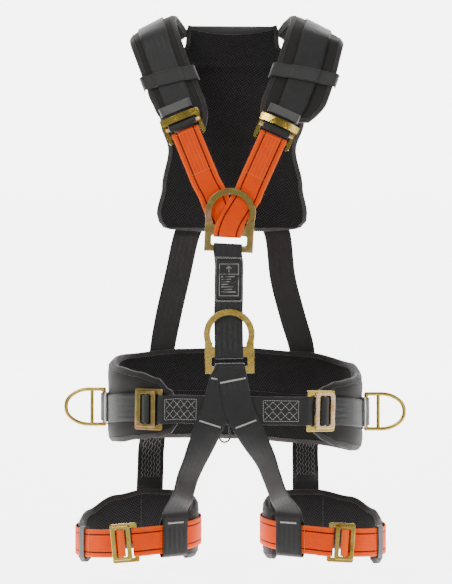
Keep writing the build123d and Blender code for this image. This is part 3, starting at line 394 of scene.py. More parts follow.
def riser(side):
    """From behind the ventral ring's lower bar, over it, down to the leg strap, round it and back up."""
    k = 1.0 if side == "r" else -1.0
    r = RS if side == "l" else RS + 2.8  # the right riser lies over the left one
    out = [sta(_V.at(0.5 * k, -62.0, -r - 0.2), _uV), sta(_V.at(0.5 * k, -50.0, -r), _uV)]
    out += [sta(p, _uV, 23.5) for p in arc(_V, FOLD_S, 0.0, r, -90, 90, 9, 0.5 * k)]
    y = _V.o[1] - r
    if side == "r":
        front = [
            (-1.0, y - 0.2, 46.0, 0, 10, 23.0),
            (3.5, y - 3.9, 24.0, 0, 14, 22.5),
            (10.5, y - 4.4, -4.0, 0, 17, 22.5),
            (22.0, y - 3.8, -29.0, 6, 22, 22.5),
            (35.0, y + 2.0, -53.0, 26, 26, 22.5),
            (51.0, y + 10.0, -82.0, 46, 26, 22.5),
            (62.0, y + 17.0, -112.0, 53, 24, 22.5),
            (73.5, y + 21.5, -143.0, 52, 20, 22.5),
        ]
    else:
        front = [
            (-13.0, y - 0.2, 46.0, 0, 10, 23.0),
            (-19.5, y - 3.6, 24.0, 0, 13, 22.5),
            (-27.0, y - 4.0, -4.0, 0, 16, 22.5),
            (-37.0, y - 3.8, -27.0, 5, 18, 22.5),
            (-47.0, y + 1.5, -52.0, 22, 19, 22.5),
            (-61.0, y + 10.0, -86.0, 40, 20, 22.5),
            (-71.5, y + 16.0, -112.0, 44, 20, 22.5),
            (-80.0, y + 20.0, -143.0, 44, 16, 22.5),
        ]
    for x, yy, z, yaw, lean, hw in front:
        a, b = radians(yaw), radians(lean)
        # the width vector turns towards the viewer on the outer edge, and leans with the strap
        w = (cos(a) * cos(b), -k * sin(a) * cos(b), k * sin(b))
        out.append(sta((x, yy, z), w, hw))
    # the loop round the leg strap
    cx = -93.5 if side == "l" else 90.0
    run = run_at_x(LEG[side], cx, left=(side == "r"))
    (px, py), (nx, ny), _t = on_loop(LEG[side], run)
    zc = leg_z(side, px)
    w = (-ny, nx, 0.0)
    if w[0] < 0:
        w = (ny, -nx, 0.0)
    for off, dz in (
        (4.0, 42.0),
        (4.3, 32.0),
        (3.8, 20.0),
        (3.8, -20.0),
        (3.2, -25.5),
        (0.6, -28.4),
        (-3.6, -29.4),
        (-6.6, -27.0),
        (-7.6, -21.0),
        (-7.6, 20.0),
        (-5.4, 27.0),
        (-0.6, 33.5),
        (1.2, 41.0),
    ):
        out.append(sta((px + nx * off, py + ny * off, zc + dz), w))
    return out


PATHS["riser_l"], PATHS["riser_r"] = riser("l"), riser("r")


# shoulder webbing: round the sliding bar, over the shoulder pad, across the back plate, down to the belt
SHOULDER = {}
for _s in "lr":
    _k = -1.0 if _s == "l" else 1.0
    # (inner edge x y z, outer edge x y z) of the shoulder pad's outer face, from the back to the front end
    if _s == "l":
        SHOULDER[_s] = [
            (-77, 113.5, 624, -162, 120.5, 565),
            (-80, 108, 634, -165, 113, 576),
            (-87, 84, 643, -169, 78, 591),
            (-92, 50, 646, -171, 40, 600),
            (-96, 5, 644, -172, -5, 602),
            (-94, -38, 628, -171, -42, 594),
            (-84, -72, 596, -165, -72, 576),
            (-68, -90, 549, -148, -88, 529),
            (-46, -103, 495, -129, -101, 480),
            (-27, -113, 446, -109, -112, 434),
        ]
    else:
        SHOULDER[_s] = [
            (77, 113.5, 624, 164, 120.5, 565),
            (80, 108, 634, 168, 113, 576),
            (87, 84, 643, 175, 78, 589),
            (94, 50, 646, 180, 40, 597),
            (98, 5, 644, 184, -5, 597),
            (95, -38, 628, 184, -42, 590),
            (84, -72, 598, 179, -72, 576),
            (69, -90, 549, 167, -88, 529),
            (49, -103, 500, 154, -101, 490),
            (31, -113, 452, 138, -111, 452),
        ]


def shoulder_frames(side, count=25):
    """Inner edge, outer edge and outward normal along the shoulder pad."""
    k = 1.0 if side == "r" else -1.0
    rows = spline(SHOULDER[side], count)
    out = []
    for i, row in enumerate(rows):
        a, b = row[:3], row[3:6]
        p, q = rows[max(i - 1, 0)], rows[min(i + 1, count - 1)]
        t = vunit(
            vadd(vsub(q[:3], p[:3]), vsub(q[3:6], p[3:6]))
        )
        w = vunit(vsub(b, a))
        n = vmul(vunit(vcross(w, t)), -k)
        out.append((a, b, n, t))
    return out


def auto_width(points, normals, hws):
    """Stations whose width vector is square to the path and the given normal."""
    out, n = [], len(points)
    for i, (p, m) in enumerate(zip(points, normals)):
        t = vunit(vsub(points[min(i + 1, n - 1)], points[max(i - 1, 0)]))
        w = vunit(vcross(t, m))
        if w[0] < 0:
            w = vmul(w, -1.0)
        out.append(tuple(p) + w + (hws[i],))
    return out


def waist_back(x, z, off):
    run = run_at_x(WAIST, x, front=False, left=x < 4.0)
    (px, py), (nx, ny), _t = on_loop(WAIST, run)
    return (px + nx * off, py + ny * off, z), (nx, ny, 0.0)


def shoulder_path(side):
    """Front part, from the adjuster to the top of the back plate, and the part below it."""
    k = -1.0 if side == "l" else 1.0
    a = ADJ[side]
    lift = 0.0 if side == "l" else 3.0  # the right strap crosses over the left one
    out = []
    # round the sliding bar and under the top bar
    for p in arc(a, 0.0, 5.4, 4.4, 20, 250, 13):
        out.append(sta(p, a.u))
    out += [sta(a.at(0, 8.5, -1.6), a.u), sta(a.at(0, 20, -3.6), a.u)]
    # up the pad, over the shoulder
    frames = shoulder_frames(side, 25)
    for i in range(22, -1, -1):
        e0, e1, n, t = frames[i]
        share = 0.5 - (0.0 if i > 5 else 0.05 * (5 - i) / 5)
        c = vadd(vmul(e0, 1 - share), vmul(e1, share))
        w = vunit(vsub(e1, e0))
        if w[0] < 0:
            w = vmul(w, -1.0)
        out.append(sta(vadd(c, vmul(n, 1.9)), w))
    front, out = out, []
    # across the back plate to the dorsal ring and on to the belt
    # x, z, height over the plate, half width, how level the width runs
    rows = [
        (k * 92, 574, 4.5, 22.5, 0.0),
        (k * 66, 535, 5.2 + lift, 22.5, 0.0),
        (k * 38, 494, 10.5 + lift, 22.3, 0.3),
        (k * 20, 468, 15.8 + lift, 21.0, 1.0),
        (k * 8, 448.5, 15.8 + lift, 21.0, 1.0),
        (k * 1.5, 440, 9.9 + lift, 21.0, 1.0),
        (-k * 5, 431.0, 4.1 + lift, 21.0, 1.0),
        (-k * 11, 420, 4.1 + lift, 21.0, 1.0),
        (-k * 24, 394, 4.1 + lift, 22.3, 0.3),
        (-k * 44, 355, 4.0 + lift * 0.3, 22.5, 0.0),
        (-k * 62, 318, 3.4, 22.5, 0.0),
        (-k * 78, 285, 3.0, 22.5, 0.0),
    ]
    pts = [(r[0], back_y(r[1]) + r[2], r[1]) for r in rows]
    nrm = [(0.0, 1.0, -SLOPE)] * len(rows)
    hws = [r[3] for r in rows]
    k2 = -k
    low = (
        [(-95, 211, 149.5), (-111, 140, 143.5)] if k2 < 0 else [(88, 205, 149.0), (105, 138, 144.5)]
    )
    for x, z, y in low:
        pts.append((x, y, z))
        nrm.append((0.15 * k2, 1.0, 0.0))
        hws.append(22.5)
    for x, z in ((-120, 84), (-124.5, 45), (-128, 5), (-131, -32)) if k2 < 0 else (
        (118.5, 84),
        (122.5, 45),
        (125.5, 5),
        (127.5, -32),
    ):
        p, m = waist_back(x, z, 2.9)
        pts.append(p)
        nrm.append(m)
        hws.append(22.5)
    back = auto_width(pts, nrm, hws)
    for i, r in enumerate(rows):
        w = vunit(vadd(vmul(back[i][3:6], 1 - r[4]), (r[4], 0.0, 0.0)))
        back[i] = back[i][:3] + w + back[i][6:]
    return front, back


for _s in "lr":
    PATHS["shoulder_webbing_" + _s], PATHS["back_webbing_" + _s] = shoulder_path(_s)


def rear_leg(side):
    k = -1.0 if side == "l" else 1.0
    x0, x1 = (-131, -140.5) if side == "l" else (127.5, 125.5)
    p0, n0 = waist_back(x0, -38.0, 2.9)
    run = run_at_x(LEG[side], x1, front=False, left=x1 < LEG[side][0][0])
    (px, py), (nx, ny), _t = on_loop(LEG[side], run)
    leg = (px, py)
    pts = [
        p0,
        waist_back(x0 + (x1 - x0) * 0.5, -62.0, 3.2)[0],
        waist_back(x0 + (x1 - x0) * 0.8, -92.0, 3.2)[0],
        (x1, p0[1] - 26, -122.0),
        (px + nx * 7, py + ny * 7, -150.0),
        (px + nx * 3.2, py + ny * 3.2, -180.0),
        (px + nx * 3.2, py + ny * 3.2, -236.0),
    ]
    nrm = [n0, n0, (0.0, 1.0, 0.0), (0, 1, 0), (0, 1, 0), (nx, ny, 0), (nx, ny, 0)]
    return auto_width(pts, nrm, [22.5] * 7)


PATHS["rear_leg_strap_l"], PATHS["rear_leg_strap_r"] = rear_leg("l"), rear_leg("r")


# buckles: place of each female plate (its middle), link offset along u
def buckle_place(curve, run, z, tilt, off=0.0):
    (x, y), (nx, ny), (tx, ty) = on_loop(curve, run)
    u = (-tx, -ty, 0.0)
    if u[0] < 0:
        u = (tx, ty, 0.0)
    a = radians(tilt)
    w = (u[0] * cos(a), u[1] * cos(a), sin(a))
    v = (-u[0] * sin(a), -u[1] * sin(a), cos(a))
    return Place((x + nx * off, y + ny * off, z), w, v)


BUCKLES = {
    # name: (place, +1 where the wearer's middle lies at +u, plate width, height)
    "waist_l": (buckle_place(WAIST, S_PL, -3.5, -0.6), 1.0, 47.6, 65.0),
    "waist_r": (buckle_place(WAIST, S_PR, -6.2, -1.2), -1.0, 47.6, 65.0),
    "leg_l": (
        buckle_place(LEG["l"], run_at_x(LEG["l"], -170.0, left=True), -214.5, 5.5),
        1.0,
        43.0,
        62.0,
    ),
    "leg_r": (
        buckle_place(LEG["r"], run_at_x(LEG["r"], 169.6, left=False), -214.0, -4.0),
        -1.0,
        43.0,
        62.0,
    ),
}
FEM_N, FEM_T = 2.2, 3.0  # underside and thickness of a female plate
LINK_N, LINK_T = 5.6, 4.0  # underside and thickness of a male link
LINK_W, LINK_H, LINK_OW, LINK_OH = 33.5, 57.5, 18.0, 46.5


def belt_front():
    """Between the two female plates: doubled at each end round the plate's inner bar."""
    out = []
    for name in ("waist_l", "waist_r"):
        pl, inner, pw, ph = BUCKLES[name]
        bar = pw / 2 - 5.0  # where the webbing folds, on the slot's side of the inner bar
        nm = FEM_N + FEM_T / 2
        r = FEM_T / 2 + 0.8 + WT / 2
        w = pl.v
        part = []
        s0 = S_PL if name == "waist_l" else S_PR
        sgn = -1.0 if name == "waist_l" else 1.0
        for d in (74.0, 56.0, 42.0):
            q, n, t = on_waist(s0 + sgn * d, -1.25)
            part.append(tuple(q) + tuple(pl.v) + (22.3,))
        part.append(tuple(pl.at(inner * (bar + 6), 0.0, nm - r)) + tuple(w) + (22.3,))
        for i in range(7):
            a = radians(-90 - 30.0 * i)
            part.append(
                tuple(pl.at(inner * (bar + r * cos(a) * 1.0), 0.0, nm + r * sin(a)))
                + tuple(w)
                + (22.3,)
            )
        part.append(tuple(pl.at(inner * (bar + 6), 0.0, nm + r)) + tuple(w) + (22.3,))
        for d in (46.0, 60.0, 78.0):
            q, n, t = on_waist(s0 + sgn * d, 1.3)
            part.append(tuple(q) + tuple(pl.v) + (22.3,))
        out.append(part)
    left, right = out
    mid = []
    a, b = S_PL - 95.0, -(TOTAL - S_PR) + 95.0
    for i in range(4):
        s = a + (b - a) * i / 3.0
        q, n, t = on_waist(s, 1.0)
        mid.append(tuple(q) + (0.0, 0.0, 1.0, 22.3))
    return left + mid + right[::-1]


PATHS["belt_front"] = belt_front()


def belt_rear():
    out = []
    runs = [S_PL + 3.0, S_PL + 14, S_PL + 30, S_PL + 50]
    runs += steps(S_PL + 66, S_DL - 36, 9)
    runs += steps(S_DL - 28, S_DL + 28, 13)
    runs += steps(S_DL + 50, S_DR - 50, 25)
    runs += steps(S_DR - 28, S_DR + 28, 13)
    runs += steps(S_DR + 36, S_PR - 66, 9)
    runs += [S_PR - 50, S_PR - 30, S_PR - 14, S_PR - 3.0]
    for s in runs:
        q, n, t = on_waist(s, belt_bump(s))
        out.append(tuple(q) + (0.0, 0.0, 1.0, 22.5))
    return out


PATHS["belt_webbing"] = belt_rear()


def leg_ring(side):
    """The leg strap, all the way round from the female plate's bar to the link."""
    pl, inner, pw, ph = BUCKLES["leg_" + side]
    curve = LEG[side]
    total = loop_total(curve)
    left = side == "l"
    s0 = run_at_x(curve, -170.0 if left else 169.6, left=left)
    sgn = -1.0 if left else 1.0  # towards the inner side
    bar = pw / 2 - 5.0
    nm = FEM_N + FEM_T / 2
    r = FEM_T / 2 + 0.8 + WT / 2
    out = []

    def on(s, off):
        (x, y), (nx, ny), _t = on_loop(curve, s)
        return (x + nx * off, y + ny * off, leg_z(side, x), 0.0, 0.0, 1.0, 22.5)

    out.append(on(s0 + sgn * 58.0, -1.25))
    out.append(on(s0 + sgn * 44.0, -1.25))
    out.append(tuple(pl.at(inner * (bar + 6), 0.0, nm - r)) + tuple(pl.v) + (22.3,))
    for i in range(7):
        a = radians(-90 - 30.0 * i)
        out.append(
            tuple(pl.at(inner * (bar + r * cos(a)), 0.0, nm + r * sin(a))) + tuple(pl.v) + (22.3,)
        )
    out.append(tuple(pl.at(inner * (bar + 6), 0.0, nm + r)) + tuple(pl.v) + (22.3,))
    for s in steps(44.0, total - 4.0, 46):
        out.append(on(s0 + sgn * s, 1.2 if s < 66 else (0.6 if s < 80 else 0.0)))
    return out


PATHS["leg_strap_l"], PATHS["leg_strap_r"] = leg_ring("l"), leg_ring("r")


# ---------------------------------------------------------------- pads
PAD_S0, PAD_S1 = run_at_x(WAIST, -90.0), run_at_x(WAIST, 127.0, left=False)
# along the belt from its -X front end: run share -> lower edge, upper edge
PAD_TABLE = [
    (0.000, -30.0, 14.0),
    (0.012, -42.0, 27.0),
    (0.035, -49.0, 45.0),
    (0.070, -53.0, 54.0),
    (0.125, -60.0, 61.0),
    (0.200, -64.0, 69.0),
    (0.300, -68.0, 76.0),
    (0.420, -71.0, 83.0),
    (0.520, -73.0, 85.0),
    (0.640, -80.0, 78.0),
    (0.760, -86.0, 62.0),
    (0.860, -76.0, 47.0),
    (0.905, -72.0, 42.0),
    (0.950, -64.0, 38.0),
    (0.975, -55.0, 31.0),
    (0.992, -44.0, 22.0),
    (1.000, -34.0, 10.0),
]
PAD_RUNS = (
    steps(PAD_S0, PAD_S0 + 14, 4)[:-1]
    + steps(PAD_S0 + 14, PAD_S1 - 14, 44)
    + steps(PAD_S1 - 14, PAD_S1, 4)[1:]
)


def waist_pad_z(run):
    return lerp_table(PAD_TABLE, (run - PAD_S0) / (PAD_S1 - PAD_S0))


LEG_S0 = {
    "l": run_at_x(LEG["l"], -236.0, left=True),
    "r": run_at_x(LEG["r"], 62.0, left=True),
}
LEG_S1 = {
    "l": run_at_x(LEG["l"], -72.0, left=False),
    "r": run_at_x(LEG["r"], 229.0, left=False),
}
# share of the run from the -X end -> lower edge, upper edge
LEG_TABLE = {
    "l": [
        (0.00, -246.0, -203.0),
        (0.03, -253.0, -196.0),
        (0.10, -256.0, -192.0),
        (0.25, -254.0, -180.0),
        (0.40, -252.0, -160.0),
        (0.52, -250.0, -151.0),
        (0.68, -248.0, -151.0),
        (0.85, -247.0, -157.0),
        (0.94, -247.0, -170.0),
        (0.985, -246.0, -176.0),
        (1.00, -240.0, -186.0),
    ],
    "r": [
        (0.00, -242.0, -184.0),
        (0.02, -248.0, -175.0),
        (0.07, -250.0, -168.0),
        (0.15, -250.0, -158.0),
        (0.32, -249.0, -151.0),
        (0.48, -250.0, -152.0),
        (0.62, -252.0, -162.0),
        (0.75, -254.0, -178.0),
        (0.90, -258.0, -192.0),
        (0.97, -256.0, -197.0),
        (1.00, -248.0, -204.0),
    ],
}
LEG_RUNS = {s: steps(LEG_S0[s], LEG_S1[s], 40) for s in "lr"}


def leg_pad_z(side, run):
    return lerp_table(LEG_TABLE[side], (run - LEG_S0[side]) / (LEG_S1[side] - LEG_S0[side]))


# outline of the back pad, seen from the front
YOKE = [
    (-128.0, 303.0),
    (-121.0, 295.0),
    (-110.0, 291.5),
    (-57.0, 290.0),
    (0.0, 288.0),
    (57.0, 287.0),
    (108.0, 290.0),
    (120.0, 294.5),
    (128.5, 304.0),
    (130.0, 318.0),
    (122.0, 365.0),
    (110.0, 428.0),
    (124.0, 474.0),
    (148.0, 528.0),
    (156.0, 549.0),
    (70.0, 609.0),
    (60.0, 628.0),
    (30.0, 631.5),
    (0.0, 631.0),
    (-30.0, 631.5),
    (-60.0, 628.0),
    (-70.0, 609.0),
    (-154.0, 549.0),
    (-146.0, 528.0),
    (-124.0, 474.0),
    (-111.0, 428.0),
    (-122.0, 366.0),
    (-131.5, 318.0),
]

# ---------------------------------------------------------------- side rings
D_H, D_REACH, D_CROSS = 64.0, 66.0, 20.0


def side_place(side):
    s = S_DL if side == "l" else S_DR
    (x, y), (nx, ny), _t = on_loop(WAIST, s)
    k = -1.0 if side == "l" else 1.0
    # u outward, v up
    off = D_BUMP - WT / 2 - 0.6 - 3.2
    z = -7.8 if side == "l" else -15.6
    return Place((x + nx * off, y + ny * off, z), (k, 0.0, 0.0), (0.0, 0.0, 1.0))


SIDE = {"l": side_place("l"), "r": side_place("r")}
LINK_SHIFT = {"waist_l": 3.4, "waist_r": 6.0, "leg_l": 5.0, "leg_r": 5.0}


# ---------------------------------------------------------------- keepers
def closed_keeper(center, n, t_half_n, z_half, width_dir, hw):
    """A band round webbing: a rounded rectangle in the (n, up) plane, its own width along width_dir."""
    up = (0.0, 0.0, 1.0)
    pts = []
    r = min(2.0, t_half_n)
    for cn, cz, a0 in (
        (t_half_n - r, z_half - r, 0),
        (-(t_half_n - r), z_half - r, 90),
        (-(t_half_n - r), -(z_half - r), 180),
        (t_half_n - r, -(z_half - r), 270),
    ):
        for a in (0, 45, 90):
            b = radians(a0 + a)
            pts.append((cn + r * cos(b), cz + r * sin(b)))
    # the join is half way up the back, where it is hidden
    pts = pts[6:] + pts[:6]
    out = []
    path = [(-t_half_n, -0.4)] + pts + [(-t_half_n, 0.4)]
    for a, b in path:
        c = vadd(vadd(center, vmul(n, a)), vmul(up, b))
        out.append(tuple(c) + tuple(width_dir) + (hw,))
    return out


KEEPERS = []
for _s, _run in (("l", S_KL), ("r", S_KR)):
    _c, _n, _t = on_waist(_run, belt_bump(_run) + 0.45)
    KEEPERS.append(
        ("belt_keeper_" + _s, closed_keeper(_c, _n, 2.45, 25.2, _t, 8.0), 1.2)
    )
for _s in "lr":
    _x = -239.0 if _s == "l" else 233.5
    _run = run_at_x(LEG[_s], _x, left=_s == "l")
    (_px, _py), (_nx, _ny), _t = on_loop(LEG[_s], _run)
    _c = (_px, _py, leg_z(_s, _px))
    KEEPERS.append(
        (
            "leg_keeper_" + _s,
            closed_keeper(_c, (_nx, _ny, 0.0), 2.7, 25.4, (_t[0], _t[1], 0.0), 7.5),
            1.2,
        )
    )
for _s in "lr":
    _fr = shoulder_frames(_s, 25)
    # wide band over pad and webbing
    _i = 18
    _e0, _e1, _n, _t = _fr[_i]
    _w = vunit(vsub(_e1, _e0))
    _rows = []
    _span = vlen(vsub(_e1, _e0))
    for _d, _h in (
        (-3.4, -9.0),
        (-3.0, -3.0),
        (0.5, 1.6),
        (8.0, 2.0),
        (_span / 2 - 25.5, 2.4),
        (_span / 2 - 22.5, 4.4),
        (_span / 2, 4.6),
        (_span / 2 + 22.5, 4.4),
        (_span / 2 + 25.5, 2.4),
        (_span - 8.0, 2.0),
        (_span - 0.5, 1.6),
        (_span + 3.0, -3.0),
        (_span + 3.4, -9.0),
    ):
        _p = vadd(vadd(_e0, vmul(_w, _d)), vmul(_n, _h))
        _rows.append(tuple(_p) + tuple(_t) + (12.0,))
    KEEPERS.append(("pad_band_" + _s, _rows, 1.2))
    # narrow band just above the adjuster
    _a = ADJ[_s]
    _rows = []
    for _d, _h in ((-25.6, -6.6), (-25.6, -3.6), (-24.0, -1.6), (0.0, -1.2), (24.0, -1.6), (25.6, -3.6), (25.6, -6.6)):
        _rows.append(tuple(_a.at(_d, 31.0, _h + 1.5)) + tuple(_a.v) + (7.0,))
    KEEPERS.append(("strap_keeper_" + _s, _rows, 1.1))

CORD = [
    (-17.0, -142.8, -18.0),
    (-20.5, -141.0, -36.0),
    (-21.5, -138.5, -47.0),
    (-14.0, -138.5, -53.5),
    (-4.5, -139.0, -48.0),
    (-6.0, -141.0, -36.0),
    (-9.0, -142.8, -18.0),
]
# the printed patch, in front of the label strap
PATCH = [
    (-6.2, -137.0, 231.0, 1.0, 0.0, 0.0, 19.5),
    (-6.4, -136.6, 200.0, 1.0, 0.0, 0.0, 19.5),
    (-6.6, -137.5, 170.0, 1.0, 0.0, 0.0, 19.5),
]


# ================================================================ materials
def new_mat(name):
    m = bpy.data.materials.new(name)
    m.use_nodes = True
    nt = m.node_tree
    b = nt.nodes["Principled BSDF"]
    return m, nt, b


def node(nt, kind, **vals):
    n = nt.nodes.new(kind)
    for k, v in vals.items():
        if k.startswith("_"):
            setattr(n, k[1:], v)
        else:
            n.inputs[k.replace("__", " ")].default_value = v
    return n


def ramp(nt, stops, fac):
    r = nt.nodes.new("ShaderNodeValToRGB")
    while len(r.color_ramp.elements) < len(stops):
        r.color_ramp.elements.new(0.5)
    for e, (p, c) in zip(r.color_ramp.elements, stops):
        e.position, e.color = p, (*c, 1.0)
    nt.links.new(fac, r.inputs["Fac"])
    return r


def math(nt, op, a, b=None, c=None):
    n = nt.nodes.new("ShaderNodeMath")
    n.operation = op
    for i, v in enumerate((a, b, c)):
        if v is None:
            continue
        if isinstance(v, (int, float)):
            n.inputs[i].default_value = v
        else:
            nt.links.new(v, n.inputs[i])
    return n.outputs[0]


def mix(nt, fac, a, b, blend="MIX"):
    n = nt.nodes.new("ShaderNodeMix")
    n.data_type = "RGBA"
    n.blend_type = blend
    ins = [s for s in n.inputs if s.enabled]
    for sock, v in zip(ins, (fac, a, b)):
        if isinstance(v, (int, float)):
            sock.default_value = v
        elif isinstance(v, tuple):
            sock.default_value = (*v, 1.0) if len(v) == 3 else v
        else:
            nt.links.new(v, sock)
    return [s for s in n.outputs if s.enabled][0]


def uv_parts(nt):
    uv = nt.nodes.new("ShaderNodeUVMap")
    uv.uv_map = "uv"
    sp = nt.nodes.new("ShaderNodeSeparateXYZ")
    nt.links.new(uv.outputs["UV"], sp.inputs["Vector"])
    return uv.outputs["UV"], sp.outputs["X"], sp.outputs["Y"]


def bump(nt, bsdf, height, strength, distance):
    b = nt.nodes.new("ShaderNodeBump")
    b.inputs["Strength"].default_value = strength
    b.inputs["Distance"].default_value = distance
    nt.links.new(height, b.inputs["Height"])
    nt.links.new(b.outputs["Normal"], bsdf.inputs["Normal"])


def weave_height(nt, u, v, pu, pv):
    """A herringbone-like weave: ribs across, their slant swapping sides in narrow columns."""
    col = math(nt, "PINGPONG", u, pu * 2.0)
    lean = math(nt, "MULTIPLY", col, 1.0)
    s = math(nt, "ADD", math(nt, "MULTIPLY", v, 2 * pi / pv), math(nt, "MULTIPLY", lean, 2 * pi / pv * 0.8))
    ribs = math(nt, "ADD", math(nt, "MULTIPLY", math(nt, "SINE", s), 0.5), 0.5)
    warp = math(nt, "ADD", math(nt, "MULTIPLY", math(nt, "SINE", math(nt, "MULTIPLY", u, 2 * pi / pu)), 0.5), 0.5)
    return math(nt, "MULTIPLY", math(nt, "ADD", ribs, warp), 0.5)


def webbing(name, base, dark, light, tracer=None, edge=None, rough=0.62, sheen=0.25, spec=0.35):
    m, nt, b = new_mat(name)
    vec, u, v = uv_parts(nt)
    h = weave_height(nt, u, v, 0.0022, 0.0017)
    n1 = node(nt, "ShaderNodeTexNoise", Scale=55.0, Detail=4.0, Roughness=0.6)
    nt.links.new(vec, n1.inputs["Vector"])
    n2 = node(nt, "ShaderNodeTexNoise", Scale=420.0, Detail=3.0, Roughness=0.7)
    nt.links.new(vec, n2.inputs["Vector"])
    c = mix(nt, h, dark, base)
    c = mix(nt, math(nt, "MULTIPLY", math(nt, "POWER", n1.outputs["Fac"], 2.0), 0.9), c, light)
    c = mix(nt, math(nt, "MULTIPLY", n2.outputs["Fac"], 0.35), c, dark)
    au = math(nt, "ABSOLUTE", u)
    if edge:
        e = math(nt, "GREATER_THAN", au, 0.0196)
        c = mix(nt, math(nt, "MULTIPLY", e, 0.75), c, edge)
    if tracer:
        t = math(nt, "COMPARE", au, 0.0141, 0.00105)
        dash = math(nt, "ADD", math(nt, "MULTIPLY", math(nt, "GREATER_THAN", math(nt, "FRACT", math(nt, "MULTIPLY", v, 210.0)), 0.16), 0.3), 0.68)
        c = mix(nt, math(nt, "MULTIPLY", t, dash), c, tracer)
    nt.links.new(c, b.inputs["Base Color"])
    b.inputs["Roughness"].default_value = rough
    b.inputs["Sheen Weight"].default_value = sheen
    b.inputs["Sheen Roughness"].default_value = 0.45
    b.inputs["Specular IOR Level"].default_value = spec
    bump(nt, b, math(nt, "ADD", h, math(nt, "MULTIPLY", n2.outputs["Fac"], 0.5)), 0.55, 0.0005)
    return m


def metal(name, stops, rough=0.27, scale=30.0, speck=0.28):
    m, nt, b = new_mat(name)
    tc = nt.nodes.new("ShaderNodeTexCoord")
    n1 = node(nt, "ShaderNodeTexNoise", Scale=scale, Detail=3.0, Roughness=0.55, Distortion=0.8)
    nt.links.new(tc.outputs["Object"], n1.inputs["Vector"])
    n0 = node(nt, "ShaderNodeTexNoise", Scale=scale * 2.7, Detail=2.0, Roughness=0.5)
    nt.links.new(tc.outputs["Object"], n0.inputs["Vector"])
    f = math(nt, "ADD", math(nt, "MULTIPLY", n1.outputs["Fac"], 1.15), math(nt, "MULTIPLY", n0.outputs["Fac"], 0.45))
    f = math(nt, "SUBTRACT", f, 0.28)
    r = ramp(nt, stops, f)
    n2 = node(nt, "ShaderNodeTexNoise", Scale=520.0, Detail=4.0, Roughness=0.7)
    nt.links.new(tc.outputs["Object"], n2.inputs["Vector"])
    dirt = math(nt, "MULTIPLY", math(nt, "GREATER_THAN", n2.outputs["Fac"], 0.62), speck * 0.5)
    c = mix(nt, dirt, r.outputs["Color"], (0.20, 0.13, 0.05))
    nt.links.new(c, b.inputs["Base Color"])
    b.inputs["Metallic"].default_value = 1.0
    rr = math(nt, "ADD", math(nt, "MULTIPLY", n2.outputs["Fac"], 0.22), rough - 0.08)
    nt.links.new(rr, b.inputs["Roughness"])
    bump(nt, b, math(nt, "ADD", n2.outputs["Fac"], math(nt, "MULTIPLY", n1.outputs["Fac"], 6.0)), 0.22, 0.0010)
    return m


def cover_fabric(name, base, light, scale=1.0, rough=0.72):
    m, nt, b = new_mat(name)
    vec, u, v = uv_parts(nt)
    pu = 0.00115 * scale
    a = math(nt, "SINE", math(nt, "MULTIPLY", u, 2 * pi / pu))
    d = math(nt, "SINE", math(nt, "MULTIPLY", v, 2 * pi / pu))
    w = math(nt, "ADD", math(nt, "MULTIPLY", math(nt, "MULTIPLY", a, d), 0.5), 0.5)
    n1 = node(nt, "ShaderNodeTexNoise", Scale=16.0, Detail=5.0, Roughness=0.6)
    nt.links.new(vec, n1.inputs["Vector"])
    n2 = node(nt, "ShaderNodeTexNoise", Scale=900.0, Detail=2.0, Roughness=0.7)
    nt.links.new(vec, n2.inputs["Vector"])
    c = mix(nt, math(nt, "MULTIPLY", n1.outputs["Fac"], 0.8), base, light)
    c = mix(nt, math(nt, "MULTIPLY", w, 0.35), c, tuple(x * 0.45 for x in base))
    nt.links.new(c, b.inputs["Base Color"])
    b.inputs["Roughness"].default_value = rough
    b.inputs["Sheen Weight"].default_value = 0.06
    b.inputs["Sheen Roughness"].default_value = 0.5
    b.inputs["Specular IOR Level"].default_value = 0.3
    bump(nt, b, math(nt, "ADD", w, math(nt, "MULTIPLY", n2.outputs["Fac"], 0.6)), 0.35, 0.0004)
    return m


def air_mesh(name):
    m, nt, b = new_mat(name)
    vec, u, v = uv_parts(nt)
    mp = nt.nodes.new("ShaderNodeMapping")
    mp.inputs["Rotation"].default_value = (0, 0, radians(33))
    nt.links.new(vec, mp.inputs["Vector"])
    vo = nt.nodes.new("ShaderNodeTexVoronoi")
    vo.inputs["Scale"].default_value = 270.0
    vo.inputs["Randomness"].default_value = 0.08
    nt.links.new(mp.outputs["Vector"], vo.inputs["Vector"])
    hole = math(nt, "LESS_THAN", vo.outputs["Distance"], 0.34)
    n1 = node(nt, "ShaderNodeTexNoise", Scale=9.0, Detail=3.0)
    nt.links.new(vec, n1.inputs["Vector"])
    c = mix(nt, hole, (0.0030, 0.0030, 0.0033), (0.030, 0.030, 0.031))
    c = mix(nt, math(nt, "MULTIPLY", n1.outputs["Fac"], 0.25), c, (0.013, 0.0125, 0.013))
    nt.links.new(c, b.inputs["Base Color"])
    b.inputs["Roughness"].default_value = 0.85
    b.inputs["Specular IOR Level"].default_value = 0.18
    bump(nt, b, math(nt, "SUBTRACT", vo.outputs["Distance"], math(nt, "MULTIPLY", hole, 0.2)), 0.8, 0.0010)
    return m


